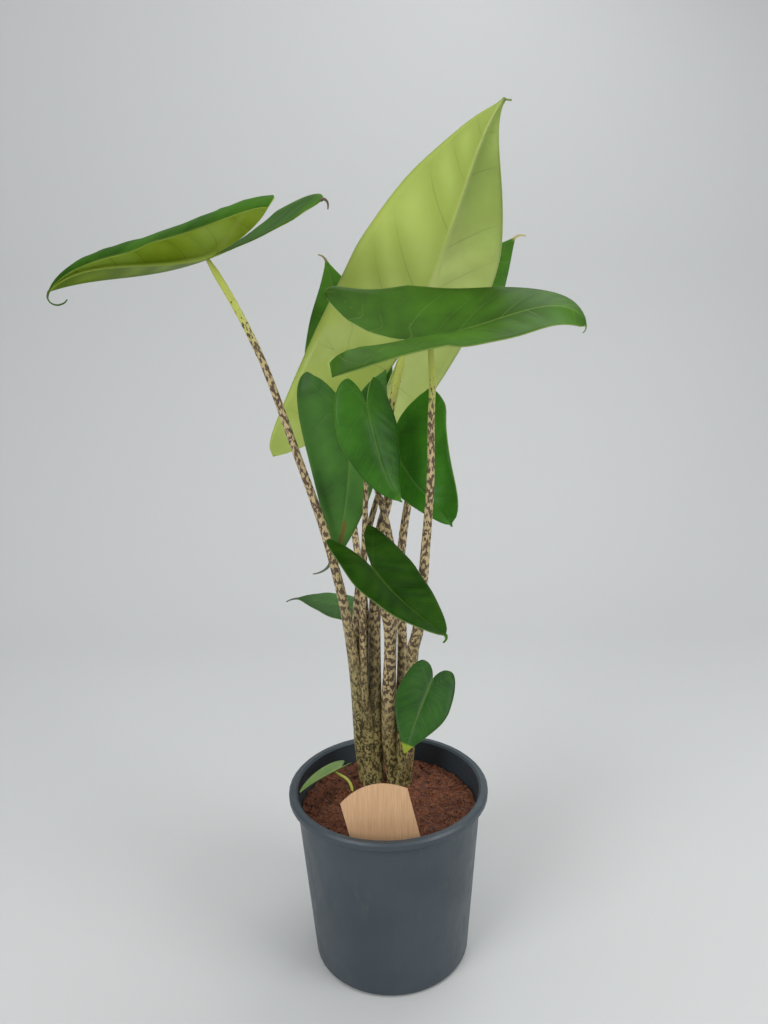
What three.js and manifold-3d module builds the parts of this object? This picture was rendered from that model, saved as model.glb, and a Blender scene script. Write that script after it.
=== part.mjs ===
// A potted alocasia zebrina: a nursery pot of soil with two plantlets, whose banded petioles
// each carry one arrow-shaped blade, a wooden label and one young leaf.
// Millimetres and degrees, +Z up. The origin is the middle of the pot's underside,
// +X is the viewer's right and +Y is away from the viewer.
import * as THREE from "three";
import { mergeVertices } from "three/addons/utils/BufferGeometryUtils.js";
import Module from "manifold-3d";

const wasm = await Module();
wasm.setup();

// Pot
const POT_HEIGHT = 172;
const RIM_RADIUS = 95;
const RIM_INNER_RADIUS = 87;
const LIP_HEIGHT = 8;
const LIP_ROUND = 1.8;
const WALL = 1.8;
const FLOOR = 2.6;
const FLOOR_INNER_RADIUS = 73.5;
const POT_SEGMENTS = 48;
const DRAIN_HOLES = 6;
const DRAIN_RADIUS = 5;
const DRAIN_RING = 54;

// Soil
const SOIL_LEVEL = 149;
const SOIL_MOUND = 3;
const SOIL_ROUGHNESS = 1.1;
const SOIL_RINGS = 7;
const CLEARANCE = 0.4;

// Plantlets
const LEFT_FOOT = [-17.5, 36];
const RIGHT_FOOT = [11.5, 36];
const CORM_RADIUS = 12.8;
const CORM_DEPTH = 34;
const PETIOLE_SIDES = 8;
const PETIOLE_STEPS = 17;
const SHEATH_BOTTOM = 138;

// Blades
const BLADE_THICKNESS = 0.9;
const WIDEST_AT = 0.36;
const SINUS_AT = 0.34;
const LOBE_ROWS = 6;
const BLADE_ROWS = 10;
const COLUMNS = 3;
const TAIL_STEP = 4;
const TAIL_HALF_WIDTH = 1.5;
const TAIL_END_HALF_WIDTH = 0.6;
const SPINE_STEPS = 32;

// Label
const LABEL_WIDTH = 60;
const LABEL_LENGTH = 80;
const LABEL_ARC_RISE = 11;
const LABEL_THICKNESS = 1.6;
const LABEL_LEAN = 12.5;
const LABEL_SHOULDER = [-12.5, -68, 201];

const COLOURS = {
  pot: 0x3c4b55,
  soil: 0x6b3a24,
  label: 0xcda57d,
  petiole: 0xa8965f,
  blade: 0x2f6b22,
  young: 0xa9bf6a,
};

// Each blade: where its petiole joins it, the heading, climb and bank of its midrib there, the flat
// outline, and how it bends. "left" and "right" are seen from above with the apex ahead.
//   length, lobe: from the petiole to the apex, and back to the lobe ends
//   widths, gaps: of the [left, right] half, and from the midline to its lobe end
//   widest: where it is widest, ahead of the petiole; sinus: where the sinus ends, behind it
//   point: how sharply the margin closes on the apex; tapers: on the [left, right] lobe end
//   round: how full the lobes are beside the sinus; endCurl: share of the margin's curl that a lobe
//   end has
//   arch, dip: fall of the midrib over its length, and of its last part; sweep, twist: sideways
//   lobes, folds, curls: [left, right] rise of the lobes, of the half blade, and of its margin
//   flatten: share of that half's fold and curl that is lost on the way to the apex
//   tail: length, fall and sideways turn of the drip tip
const BLADES = {
  blade_far_left: {
    at: [-133, -20, 656], heading: 130.5, climb: -2.3, bank: 35,
    length: 182, lobe: 130, widths: [48.6, 78], gaps: [28.6, 19.6],
    widest: -3, sinus: 2, point: 0.91, tapers: [0.58, 1.6], round: 0.72, endCurl: 0.85,
    arch: 18, dip: 61, sweep: 46.6, twist: 9,
    lobes: [-10.9, -12.3], folds: [68.8, 58], flatten: [-0.4, 0.8], curls: [-190.4, 16],
    tail: { length: 30, fall: 190, turn: 0 }, wave: 0.6,
  },
  blade_tall: {
    at: [23, 47, 579], heading: -18.7, climb: 62, bank: -37.8,
    length: 242.5, lobe: 171, widths: [55.5, 82], gaps: [31.4, 44.7],
    widest: 55, sinus: 4, point: 1.54, tapers: [1, 1], round: 0.72, endCurl: 0.6,
    arch: 37.9, dip: 16.4, sweep: -46.3, twist: -45.3,
    lobes: [9.2, -37.1], folds: [20.3, 39], flatten: [0, 0], curls: [-54.6, 20.5],
    tail: { length: 10, fall: 60, turn: -80 }, wave: 1.6,
  },
  blade_front_right: {
    at: [42, -48, 587], heading: 9, climb: 11, bank: 21,
    length: 131, lobe: 88, widths: [63, 56], gaps: [42, 67.3],
    widest: -11, sinus: 2, point: 0.64, tapers: [1, 1.07], round: 0.72, endCurl: 0.6,
    arch: -33, dip: 114, sweep: -34, twist: -3,
    lobes: [-41, 0.8], folds: [13, 38.5], flatten: [1.4, 2.17], curls: [22, -44.8],
    tail: { length: 7, fall: 60, turn: 0 }, wave: 0.8,
  },
  blade_right_middle: {
    at: [12, 36, 496], heading: -73, climb: -44, bank: -8,
    length: 99, lobe: 46, widths: [59, 26], gaps: [43, 30],
    widest: -7, sinus: 2, point: 0.69, tapers: [1, 1], round: 0.72, endCurl: 0.6,
    arch: -12, dip: 38, sweep: 39, twist: 15,
    lobes: [-23, -10], folds: [41, -6], flatten: [0, 0], curls: [25, -6],
    tail: { length: 3, fall: 20, turn: 0 }, wave: 0.6,
  },
  blade_left_hanging: {
    at: [-26, 8.5, 520], heading: -84, climb: -86, bank: -7,
    length: 142, lobe: 43, widths: [34, 45], gaps: [34, 34],
    widest: -21, sinus: 3, point: 1.26, tapers: [1, 1], round: 0.72, endCurl: 0.6,
    arch: 12, dip: 38, sweep: -16, twist: 2,
    lobes: [-3, 2], folds: [14, 0], flatten: [0, 0], curls: [-14, -30],
    tail: { length: 24, fall: -30, turn: -70 }, wave: 0.8,
  },
  blade_centre: {
    at: [-9, -16, 531], heading: -59, climb: -72, bank: -3,
    length: 82, lobe: 28, widths: [27, 30], gaps: [12, 12],
    widest: 13, sinus: 4, point: 0.92, tapers: [1, 1], round: 0.72, endCurl: 0.6,
    arch: 5, dip: -32, sweep: 17, twist: 7,
    lobes: [1, 0], folds: [7, -4], flatten: [0, 0], curls: [-24, -40],
    tail: { length: 3, fall: 0, turn: 20 }, wave: 0.6,
  },
  blade_behind_right: {
    at: [70, 115, 607], heading: 18, climb: 46, bank: 72,
    length: 103, lobe: 15, widths: [37, 37], gaps: [11, 11],
    widest: 12, sinus: 4, point: 1.13, tapers: [1, 1], round: 0.72, endCurl: 0.6,
    arch: -5, dip: -4, sweep: 1, twist: 0,
    lobes: [0, 0], folds: [11, 10], flatten: [0, 0], curls: [-18, -20],
    tail: { length: 13, fall: 0, turn: -80 }, wave: 1,
  },
  blade_behind_left: {
    at: [-29, 114, 564], heading: 121, climb: 76, bank: -41,
    length: 105, lobe: 51, widths: [43, 44], gaps: [18, 18],
    widest: 6, sinus: 4, point: 1.19, tapers: [1, 1], round: 0.72, endCurl: 0.6,
    arch: -2, dip: -14, sweep: 6, twist: 0,
    lobes: [-2, 0], folds: [16, 7], flatten: [0, 0], curls: [-12, -25],
    tail: { length: 11, fall: 0, turn: 70 }, wave: 1,
  },
  blade_front_glossy: {
    at: [-6.6, -50, 399], heading: -62, climb: -22, bank: 5,
    length: 96, lobe: 55, widths: [31, 28], gaps: [19, 19],
    widest: 5, sinus: 4, point: 0.73, tapers: [1, 1], round: 0.72, endCurl: 0.6,
    arch: -9, dip: 5, sweep: 14, twist: 1,
    lobes: [-3, 13], folds: [17, 17], flatten: [0, 0], curls: [-10, -10],
    tail: { length: 8, fall: 40, turn: -110 }, wave: 0.6,
  },
  blade_low_right: {
    at: [33, -44, 277], heading: -120, climb: -37, bank: -20,
    length: 46, lobe: 36, widths: [24, 25], gaps: [13, 13],
    widest: 1, sinus: 23, point: 1.2, tapers: [1, 1], round: 1, endCurl: 0.6,
    arch: 22, dip: 21, sweep: 0, twist: 3,
    lobes: [1, 0], folds: [7, 14], flatten: [0, 0], curls: [-25, -14],
    tail: { length: 2, fall: 20, turn: 0 }, wave: 0.4,
  },
  blade_low_left: {
    at: [-34.6, 75, 324], heading: 183, climb: 14, bank: -9,
    length: 53, lobe: 19, widths: [25, 25], gaps: [15, 15],
    widest: 7, sinus: 8, point: 1.09, tapers: [1, 1], round: 0.72, endCurl: 0.6,
    arch: -1, dip: 14, sweep: -2, twist: -3,
    lobes: [1, -1], folds: [7, 10], flatten: [0, 0], curls: [-24, -20],
    tail: { length: 13, fall: 35, turn: 0 }, wave: 0.4,
  },
};

const YOUNG_BLADE = {
  at: [-54, 25, 171], heading: 228, climb: 4, bank: 10,
  length: 43, lobe: 20, widths: [10, 10], gaps: [5, 5],
  widest: -2, sinus: 12, point: 1, tapers: [1, 1], round: 0.72, endCurl: 0.6,
  arch: 6, dip: 10, sweep: 0, twist: 0,
  lobes: [4, 4], folds: [20, 20], flatten: [0, 0], curls: [10, 10],
  tail: { length: 3, fall: 10, turn: 0 }, wave: 0,
};
const YOUNG_PETIOLE = {
  top: 1.3, foot: 1.6, swell: 1,
  route: [[-49, 24, 168], [-41, 23, 163], [-36.6, 22, 155], [-36, 22, 134]],
};
const YOUNG_HOLE_RADIUS = 3;

// Each petiole: the blade that it carries, its radius at the top and at the foot, how low it swells
// into its sheath (1 is evenly), and the points that it passes on the way down to the soil.
const LEFT_PETIOLES = [
  {
    blade: "blade_far_left", top: 3, foot: 8.4, swell: 2.4,
    route: [[-115, -18, 618], [-96, -15, 574], [-71, -9, 492], [-51, -3, 423], [-37, 5, 354],
      [-31, 14, 303], [-28, 23, 257], [-25.5, 31, 195], [-21, 36, 150]],
  },
  {
    blade: "blade_right_middle", top: 2.2, foot: 9.6, swell: 1.4,
    route: [[10, 38, 484], [2, 37, 460], [-6, 35, 436], [-14, 32, 408], [-24, 28, 348],
      [-26, 26, 307], [-24, 27, 268], [-20, 31, 210], [-18, 34, 150]],
  },
  {
    blade: "blade_tall", top: 3.4, foot: 8.6, swell: 1.4,
    route: [[16, 47, 545], [8, 49, 509], [8, 47, 480], [7, 43, 444], [-1, 40, 414],
      [-6, 37, 385], [-8, 36, 346], [-10, 35, 305], [-11, 35, 262], [-12, 35, 205], [-13, 36.5, 150]],
  },
  {
    blade: "blade_centre", top: 2, foot: 5.2, swell: 1.4,
    route: [[-11, -5, 495], [-14, 2, 441], [-17, 8, 393], [-20, 14, 334], [-21, 20, 273],
      [-20, 29, 200], [-20, 33, 150]],
  },
  {
    blade: "blade_behind_left", top: 2.4, foot: 6, swell: 1.4,
    route: [[-29, 121, 545], [-30, 120, 500], [-30, 113, 450], [-29, 96, 412], [-24, 68, 375],
      [-19, 46, 335], [-18, 41, 283], [-18, 41, 224], [-18, 40, 150]],
  },
  {
    blade: "blade_low_left", top: 1.7, foot: 4, swell: 1.4,
    route: [[-30, 68, 300], [-25, 57, 265], [-20, 46, 223], [-20, 40, 150]],
  },
];
const RIGHT_PETIOLES = [
  {
    blade: "blade_left_hanging", top: 2.4, foot: 7.4, swell: 1.4,
    route: [[-23, 18, 505], [-14, 24, 482], [-5, 26, 460], [3, 25, 430], [8, 25, 403],
      [16, 27, 345], [17, 29, 303], [16, 30, 262], [13, 32, 200], [10, 34, 150]],
  },
  {
    blade: "blade_front_right", top: 2.6, foot: 9.4, swell: 1.6,
    route: [[44, -42, 555], [43, -38, 522], [42, -34, 470], [38, -25, 415], [31, -5, 330],
      [26, 7, 303], [23, 15, 258], [20, 25, 203], [14.4, 35, 150]],
  },
  {
    blade: "blade_behind_right", top: 2.7, foot: 7, swell: 1.4,
    route: [[66, 119, 588], [55, 116, 552], [43, 102, 508], [28, 74, 440], [22, 64, 410], [18, 55, 385],
      [12, 48, 353], [9, 45, 326], [6, 43, 290], [5, 41, 258], [8, 39, 203], [11.5, 40, 150]],
  },
  {
    blade: "blade_front_glossy", top: 2.6, foot: 7.8, swell: 0.55,
    route: [[-5, -35, 384], [-1, -15, 360], [4.5, 3, 330], [5, 14, 297], [2.6, 22, 257],
      [1.9, 29, 200], [6.5, 35, 150]],
  },
  {
    blade: "blade_low_right", top: 1.8, foot: 4.5, swell: 1.4,
    route: [[30, -26, 255], [25, -6, 226], [20.5, 13, 190], [14.5, 32, 150]],
  },
];

const radians = (degrees) => (degrees * Math.PI) / 180;
const vector = (point) => new THREE.Vector3(...point);

// A solid of a closed geometry, whose shared vertices are merged first.
function solid(geometry) {
  const bare = geometry.clone();
  bare.deleteAttribute("normal");
  bare.deleteAttribute("uv");
  const merged = mergeVertices(bare, 1e-3);
  return new wasm.Manifold(
    new wasm.Mesh({
      numProp: 3,
      vertProperties: new Float32Array(merged.attributes.position.array),
      triVerts: new Uint32Array(merged.index.array),
    }),
  );
}

// The geometry of a solid.
function geometryOf(made) {
  const mesh = made.getMesh();
  const positions = new Float32Array(mesh.numVert * 3);
  for (let i = 0; i < mesh.numVert; i++)
    positions.set(mesh.vertProperties.subarray(i * mesh.numProp, i * mesh.numProp + 3), i * 3);
  const geometry = new THREE.BufferGeometry();
  geometry.setAttribute("position", new THREE.BufferAttribute(positions, 3));
  geometry.setIndex(new THREE.BufferAttribute(new Uint32Array(mesh.triVerts), 1));
  return geometry;
}

function indexedGeometry(points, triangles) {
  const geometry = new THREE.BufferGeometry();
  const positions = new Float32Array(points.flatMap((p) => [p.x, p.y, p.z]));
  geometry.setAttribute("position", new THREE.BufferAttribute(positions, 3));
  geometry.setIndex(triangles);
  return geometry;
}

// Half outline of a flat blade at t, from the lobe end (0) to the apex (1): [along, across].
function marginAt(blade, t, side) {
  const hand = side > 0 ? 0 : 1;
  const width = blade.widths[hand];
  const gap = blade.gaps[hand];
  if (t < WIDEST_AT) {
    const turn = (t / WIDEST_AT) * (Math.PI / 2);
    return [
      -blade.lobe + (blade.lobe + blade.widest) * (1 - Math.cos(turn)),
      gap + (width - gap) * Math.sin(turn) ** blade.tapers[hand],
    ];
  }
  const x = (t - WIDEST_AT) / (1 - WIDEST_AT);
  return [
    blade.widest + (blade.length - blade.widest) * x,
    width * (1 - x ** 1.7) ** blade.point + TAIL_HALF_WIDTH * x,
  ];
}

// The inner line of the half blade: the sinus edge up to the sinus, then the midrib.
function innerAt(blade, t, side) {
  if (t < SINUS_AT) {
    const y = t / SINUS_AT;
    const gap = blade.gaps[side > 0 ? 0 : 1];
    return [
      -(blade.lobe * ((1 - y) ** 2 + 2 * blade.round * y * (1 - y)) + blade.sinus * y * y),
      gap * ((1 - y) ** 2 + 0.6 * y * (1 - y)),
    ];
  }
  const share = (t - SINUS_AT) / (1 - SINUS_AT);
  return [-blade.sinus + (blade.length + blade.sinus) * share, 0];
}

// Pitch and yaw of the midrib at u; behind the sinus the lobe of that side rises or falls.
function bendAt(blade, u, side) {
  const share = THREE.MathUtils.clamp(u / blade.length, 0, 1);
  const back = Math.max(0, -(u + blade.sinus) / blade.lobe);
  const tail = Math.max(0, (u - blade.length) / blade.tail.length);
  const lobe = blade.lobes[side > 0 ? 0 : 1];
  return {
    pitch: radians(lobe * back - blade.arch * share - blade.dip * share ** 5 - blade.tail.fall * tail),
    yaw: radians(blade.sweep * share + blade.tail.turn * tail),
  };
}

// Position, side direction and upper normal of the midrib line at u, in the blade's own frame.
function spineAt(blade, u, side) {
  const at = new THREE.Vector3();
  for (let i = 0; i < SPINE_STEPS; i++) {
    const { pitch, yaw } = bendAt(blade, (u * (i + 0.5)) / SPINE_STEPS, side);
    at.x += (Math.cos(pitch) * Math.cos(yaw) * u) / SPINE_STEPS;
    at.y += (Math.cos(pitch) * Math.sin(yaw) * u) / SPINE_STEPS;
    at.z += (Math.sin(pitch) * u) / SPINE_STEPS;
  }
  const { pitch, yaw } = bendAt(blade, u, side);
  return { at, ...bankedFrame(pitch, yaw, radians((blade.twist * u) / blade.length)) };
}

// Ahead, left and up directions of a heading that climbs and then banks to its right.
function bankedFrame(climb, heading, bank) {
  const ahead = new THREE.Vector3(
    Math.cos(climb) * Math.cos(heading),
    Math.cos(climb) * Math.sin(heading),
    Math.sin(climb),
  );
  const level = new THREE.Vector3(-Math.sin(heading), Math.cos(heading), 0);
  const raised = ahead.clone().cross(level);
  return {
    ahead,
    left: level.clone().multiplyScalar(Math.cos(bank)).addScaledVector(raised, Math.sin(bank)),
    up: level.clone().multiplyScalar(-Math.sin(bank)).addScaledVector(raised, Math.cos(bank)),
  };
}

function bladeFrame(blade) {
  return bankedFrame(radians(blade.climb), radians(blade.heading), radians(blade.bank));
}

// The point of the bent blade that lies at (u, v) when it is flat. edge is 0 on the inner line
// and 1 on the margin.
function bladePoint(blade, u, v, edge, t, side) {
  const { at, left, up } = spineAt(blade, u, side);
  const hand = side > 0 ? 0 : 1;
  const lobeEnd = Math.max(0, 1 - t / SINUS_AT) ** 2;
  const curl = edge + (1 - edge) * blade.endCurl * lobeEnd;
  const kept = 1 - blade.flatten[hand] * THREE.MathUtils.clamp(u / blade.length, 0, 1);
  const rise = radians((blade.folds[hand] + 0.5 * blade.curls[hand] * curl) * kept);
  const wave = blade.wave * edge * edge * Math.sin(2 * Math.PI * (3.2 * t + 0.3 * hand));
  const local = at
    .addScaledVector(left, side * v * Math.cos(rise))
    .addScaledVector(up, v * Math.sin(rise) + wave * Math.sin(Math.PI * Math.min(t, 1)));
  const frame = bladeFrame(blade);
  return vector(blade.at)
    .addScaledVector(frame.ahead, local.x)
    .addScaledVector(frame.left, local.y)
    .addScaledVector(frame.up, local.z);
}

// Rows of one half of the blade, lobe end first and the end of the drip tip last.
function bladeRows(blade, side) {
  const rows = [];
  const addRow = (t) => rows.push({ t, inner: innerAt(blade, t, side), margin: marginAt(blade, t, side) });
  for (let i = 0; i <= LOBE_ROWS; i++) addRow((SINUS_AT * i) / LOBE_ROWS);
  for (let i = 1; i <= BLADE_ROWS; i++) addRow(SINUS_AT + ((1 - SINUS_AT) * i) / BLADE_ROWS);
  const tailRows = Math.max(1, Math.round(blade.tail.length / TAIL_STEP));
  for (let i = 1; i <= tailRows; i++) {
    const share = i / tailRows;
    const along = blade.length + blade.tail.length * share;
    const half = TAIL_HALF_WIDTH + (TAIL_END_HALF_WIDTH - TAIL_HALF_WIDTH) * share;
    rows.push({ t: 1, inner: [along, 0], margin: [along, half] });
  }
  return rows;
}

// The blade's middle surface: its points, and its triangles seen from above.
function bladeSurface(blade) {
  const points = [];
  const triangles = [];
  const known = new Map();
  function pointIndex(rows, row, column, side) {
    const shared = column === 0 && row >= LOBE_ROWS;
    const key = [row, row === 0 ? 0 : column, shared ? 0 : side].join();
    if (!known.has(key)) {
      const { t, inner, margin } = rows[row];
      const edge = column / COLUMNS;
      const u = inner[0] + (margin[0] - inner[0]) * edge;
      const v = inner[1] + (margin[1] - inner[1]) * edge;
      known.set(key, points.length);
      points.push(bladePoint(blade, u, v, row === 0 ? 0 : edge, t, side));
    }
    return known.get(key);
  }
  for (const side of [1, -1]) {
    const rows = bladeRows(blade, side);
    for (let row = 0; row + 1 < rows.length; row++)
      for (let column = 0; column < COLUMNS; column++) {
        const a = pointIndex(rows, row, column, side);
        const b = pointIndex(rows, row + 1, column, side);
        const c = pointIndex(rows, row + 1, column + 1, side);
        const d = pointIndex(rows, row, column + 1, side);
        for (const corner of [[a, b, c], [a, c, d]]) {
          if (new Set(corner).size < 3) continue;
          triangles.push(side > 0 ? corner : corner.reverse());
        }
      }
  }
  return { points, triangles };
}

// Thickens a surface along its normals: the same triangles on both faces, joined round the edge.
function bladeGeometry(blade) {
  const { points, triangles } = bladeSurface(blade);
  const normals = points.map(() => new THREE.Vector3());
  const edges = new Set();
  for (const [a, b, c] of triangles) {
    const normal = points[b].clone().sub(points[a]).cross(points[c].clone().sub(points[a]));
    for (const i of [a, b, c]) normals[i].add(normal);
    for (const edge of [[a, b], [b, c], [c, a]]) edges.add(edge.join());
  }
  normals.forEach((normal) => normal.normalize());
  const offset = (distance) => points.map((p, i) => p.clone().addScaledVector(normals[i], distance));
  const upper = offset(BLADE_THICKNESS / 2);
  const lower = offset(-BLADE_THICKNESS / 2);
  const count = points.length;
  const index = [];
  for (const [a, b, c] of triangles) index.push(a, b, c, count + c, count + b, count + a);
  for (const edge of edges) {
    const [a, b] = edge.split(",").map(Number);
    if (edges.has([b, a].join())) continue;
    index.push(b, a, count + a, b, count + a, count + b);
  }
  return indexedGeometry([...upper, ...lower], index);
}

// A tube through the points, thick at the end and thin at the start, with closed ends.
function petioleGeometry(points, topRadius, footRadius, swell) {
  const curve = new THREE.CatmullRomCurve3(points, false, "centripetal");
  const frames = curve.computeFrenetFrames(PETIOLE_STEPS, false);
  const rings = [];
  const triangles = [];
  for (let i = 0; i <= PETIOLE_STEPS; i++) {
    const share = i / PETIOLE_STEPS;
    const tip = i === 0 ? 0.5 : 1;
    const radius = tip * (topRadius + (footRadius - topRadius) * share ** swell);
    const centre = curve.getPointAt(share);
    for (let k = 0; k < PETIOLE_SIDES; k++) {
      const turn = (2 * Math.PI * k) / PETIOLE_SIDES;
      rings.push(
        centre
          .clone()
          .addScaledVector(frames.normals[i], radius * Math.cos(turn))
          .addScaledVector(frames.binormals[i], radius * Math.sin(turn)),
      );
    }
  }
  const at = (ring, k) => ring * PETIOLE_SIDES + (k % PETIOLE_SIDES);
  for (let i = 0; i < PETIOLE_STEPS; i++)
    for (let k = 0; k < PETIOLE_SIDES; k++) {
      triangles.push(at(i, k), at(i, k + 1), at(i + 1, k));
      triangles.push(at(i + 1, k), at(i, k + 1), at(i + 1, k + 1));
    }
  for (let k = 1; k + 1 < PETIOLE_SIDES; k++) {
    triangles.push(at(0, 0), at(0, k + 1), at(0, k));
    triangles.push(at(PETIOLE_STEPS, 0), at(PETIOLE_STEPS, k), at(PETIOLE_STEPS, k + 1));
  }
  return indexedGeometry(rings, triangles);
}

// The top of a petiole lies just clear of the underside of its blade.
function petioleTop(blade, topRadius) {
  const drop = BLADE_THICKNESS / 2 + CLEARANCE + topRadius / 2;
  return vector(blade.at).addScaledVector(bladeFrame(blade).up, -drop);
}

// One plantlet: its petioles, joined at the foot by the corm that stands in the soil.
function plantletGeometry(petioles, foot) {
  const corm = new THREE.CylinderGeometry(CORM_RADIUS, CORM_RADIUS * 0.7, CORM_DEPTH, 20);
  corm.rotateX(Math.PI / 2);
  corm.translate(foot[0], foot[1], SOIL_LEVEL - CORM_DEPTH / 2);
  let plantlet = solid(corm);
  for (const { blade, top, foot: footRadius, swell, route } of petioles) {
    const last = route[route.length - 1];
    const points = [petioleTop(BLADES[blade], top), ...route.map(vector)];
    points.push(vector([last[0], last[1], SHEATH_BOTTOM]));
    plantlet = plantlet.add(solid(petioleGeometry(points, top, footRadius, swell)));
  }
  return geometryOf(plantlet);
}

function youngLeafGeometry() {
  const { top, foot, swell, route } = YOUNG_PETIOLE;
  const points = [vector(YOUNG_BLADE.at), ...route.map(vector)];
  const petiole = petioleGeometry(points, top, foot, swell);
  return geometryOf(solid(bladeGeometry(YOUNG_BLADE)).add(solid(petiole)));
}

function innerRadius(height) {
  const share = (height - FLOOR) / (POT_HEIGHT - FLOOR);
  return FLOOR_INNER_RADIUS + (RIM_INNER_RADIUS - FLOOR_INNER_RADIUS) * share;
}

function potGeometry() {
  const lipBottom = POT_HEIGHT - LIP_HEIGHT;
  const profile = [
    [0, 0],
    [innerRadius(0) + WALL - 3, 0],
    [innerRadius(3) + WALL, 3],
    [innerRadius(lipBottom - 2) + WALL, lipBottom - 2],
    [RIM_RADIUS - LIP_ROUND, lipBottom],
    [RIM_RADIUS, lipBottom + LIP_ROUND],
    [RIM_RADIUS, POT_HEIGHT - LIP_ROUND],
    [RIM_RADIUS - LIP_ROUND, POT_HEIGHT],
    [RIM_INNER_RADIUS + LIP_ROUND, POT_HEIGHT],
    [innerRadius(POT_HEIGHT - LIP_ROUND), POT_HEIGHT - LIP_ROUND],
    [FLOOR_INNER_RADIUS, FLOOR],
    [0, FLOOR],
  ];
  const lathe = new THREE.LatheGeometry(profile.map(([r, z]) => new THREE.Vector2(r, z)), POT_SEGMENTS);
  lathe.rotateX(Math.PI / 2);
  let pot = solid(lathe);
  for (let i = 0; i < DRAIN_HOLES; i++) {
    const turn = (2 * Math.PI * (i + 0.5)) / DRAIN_HOLES;
    const hole = new THREE.CylinderGeometry(DRAIN_RADIUS, DRAIN_RADIUS, 4 * FLOOR, 16);
    hole.rotateX(Math.PI / 2);
    hole.translate(DRAIN_RING * Math.cos(turn), DRAIN_RING * Math.sin(turn), FLOOR / 2);
    pot = pot.subtract(solid(hole));
  }
  return geometryOf(pot);
}

// Height of the soil: a low mound round the plantlets, roughened by a few crossing waves.
function soilHeight(x, y) {
  const fromPlant = Math.hypot(x - (LEFT_FOOT[0] + RIGHT_FOOT[0]) / 2, y - LEFT_FOOT[1]);
  const mound = SOIL_MOUND * Math.exp(-((fromPlant / 45) ** 2));
  const rough = Math.sin(x * 0.21 + 1.3) * Math.cos(y * 0.17) + Math.sin((x + y) * 0.33 + 0.4) * 0.6;
  return SOIL_LEVEL + mound + SOIL_ROUGHNESS * rough;
}

function soilGeometry() {
  const bottom = FLOOR + CLEARANCE;
  const points = [new THREE.Vector3(0, 0, bottom)];
  const triangles = [];
  const edge = innerRadius(SOIL_LEVEL) - CLEARANCE - 0.6;
  const rings = [[innerRadius(bottom) - CLEARANCE, () => bottom]];
  for (let i = SOIL_RINGS; i > 0; i--) rings.push([(edge * i) / SOIL_RINGS, soilHeight]);
  for (const [radius, height] of rings)
    for (let k = 0; k < POT_SEGMENTS; k++) {
      const turn = (2 * Math.PI * k) / POT_SEGMENTS;
      const x = radius * Math.sin(turn);
      const y = -radius * Math.cos(turn);
      points.push(new THREE.Vector3(x, y, height(x, y)));
    }
  points.push(new THREE.Vector3(0, 0, soilHeight(0, 0)));
  const at = (ring, k) => 1 + ring * POT_SEGMENTS + (k % POT_SEGMENTS);
  for (let k = 0; k < POT_SEGMENTS; k++) {
    triangles.push(0, at(0, k + 1), at(0, k));
    for (let ring = 0; ring < SOIL_RINGS; ring++) {
      triangles.push(at(ring, k), at(ring, k + 1), at(ring + 1, k));
      triangles.push(at(ring + 1, k), at(ring, k + 1), at(ring + 1, k + 1));
    }
    triangles.push(at(SOIL_RINGS, k), at(SOIL_RINGS, k + 1), points.length - 1);
  }
  let soil = solid(indexedGeometry(points, triangles));
  for (const foot of [LEFT_FOOT, RIGHT_FOOT])
    soil = soil.subtract(plainHole(foot, CORM_RADIUS + 2 * CLEARANCE, CORM_DEPTH + 1));
  const youngFoot = YOUNG_PETIOLE.route[YOUNG_PETIOLE.route.length - 1];
  soil = soil.subtract(plainHole(youngFoot, YOUNG_HOLE_RADIUS, SOIL_LEVEL - youngFoot[2] + 2));
  soil = soil.subtract(solid(labelGeometry(CLEARANCE)));
  return geometryOf(soil);
}

function plainHole([x, y], radius, depth) {
  const height = depth + 20;
  const hole = new THREE.CylinderGeometry(radius, radius, height, 24);
  hole.rotateX(Math.PI / 2);
  hole.translate(x, y, SOIL_LEVEL - depth + height / 2);
  return solid(hole);
}

// A thin slat with an arched top, leaning to the left; grow makes it larger all round.
function labelGeometry(grow) {
  const half = LABEL_WIDTH / 2 + grow;
  const shape = new THREE.Shape();
  shape.moveTo(-half, -LABEL_LENGTH - grow);
  shape.lineTo(half, -LABEL_LENGTH - grow);
  shape.lineTo(half, 0);
  shape.quadraticCurveTo(0, 2 * (LABEL_ARC_RISE + grow), -half, 0);
  shape.closePath();
  const thickness = LABEL_THICKNESS + 2 * grow;
  const slat = new THREE.ExtrudeGeometry(shape, { depth: thickness, bevelEnabled: false, curveSegments: 12 });
  slat.translate(0, 0, -thickness / 2);
  slat.rotateX(Math.PI / 2);
  slat.rotateY(radians(-LABEL_LEAN));
  slat.translate(...LABEL_SHOULDER);
  return slat;
}

function addPiece(group, name, geometry, colour, roughness) {
  const material = new THREE.MeshStandardMaterial({ color: colour, roughness, metalness: 0 });
  const mesh = new THREE.Mesh(geometry, material);
  mesh.name = name;
  group.add(mesh);
}

const plant = new THREE.Group();
addPiece(plant, "pot", potGeometry(), COLOURS.pot, 0.45);
addPiece(plant, "soil", soilGeometry(), COLOURS.soil, 0.95);
addPiece(plant, "label", labelGeometry(0), COLOURS.label, 0.7);
addPiece(plant, "left_plantlet_petioles", plantletGeometry(LEFT_PETIOLES, LEFT_FOOT), COLOURS.petiole, 0.5);
addPiece(plant, "right_plantlet_petioles", plantletGeometry(RIGHT_PETIOLES, RIGHT_FOOT), COLOURS.petiole, 0.5);
for (const [name, blade] of Object.entries(BLADES))
  addPiece(plant, name, bladeGeometry(blade), COLOURS.blade, 0.35);
addPiece(plant, "young_leaf", youngLeafGeometry(), COLOURS.young, 0.45);

export default plant;
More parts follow.
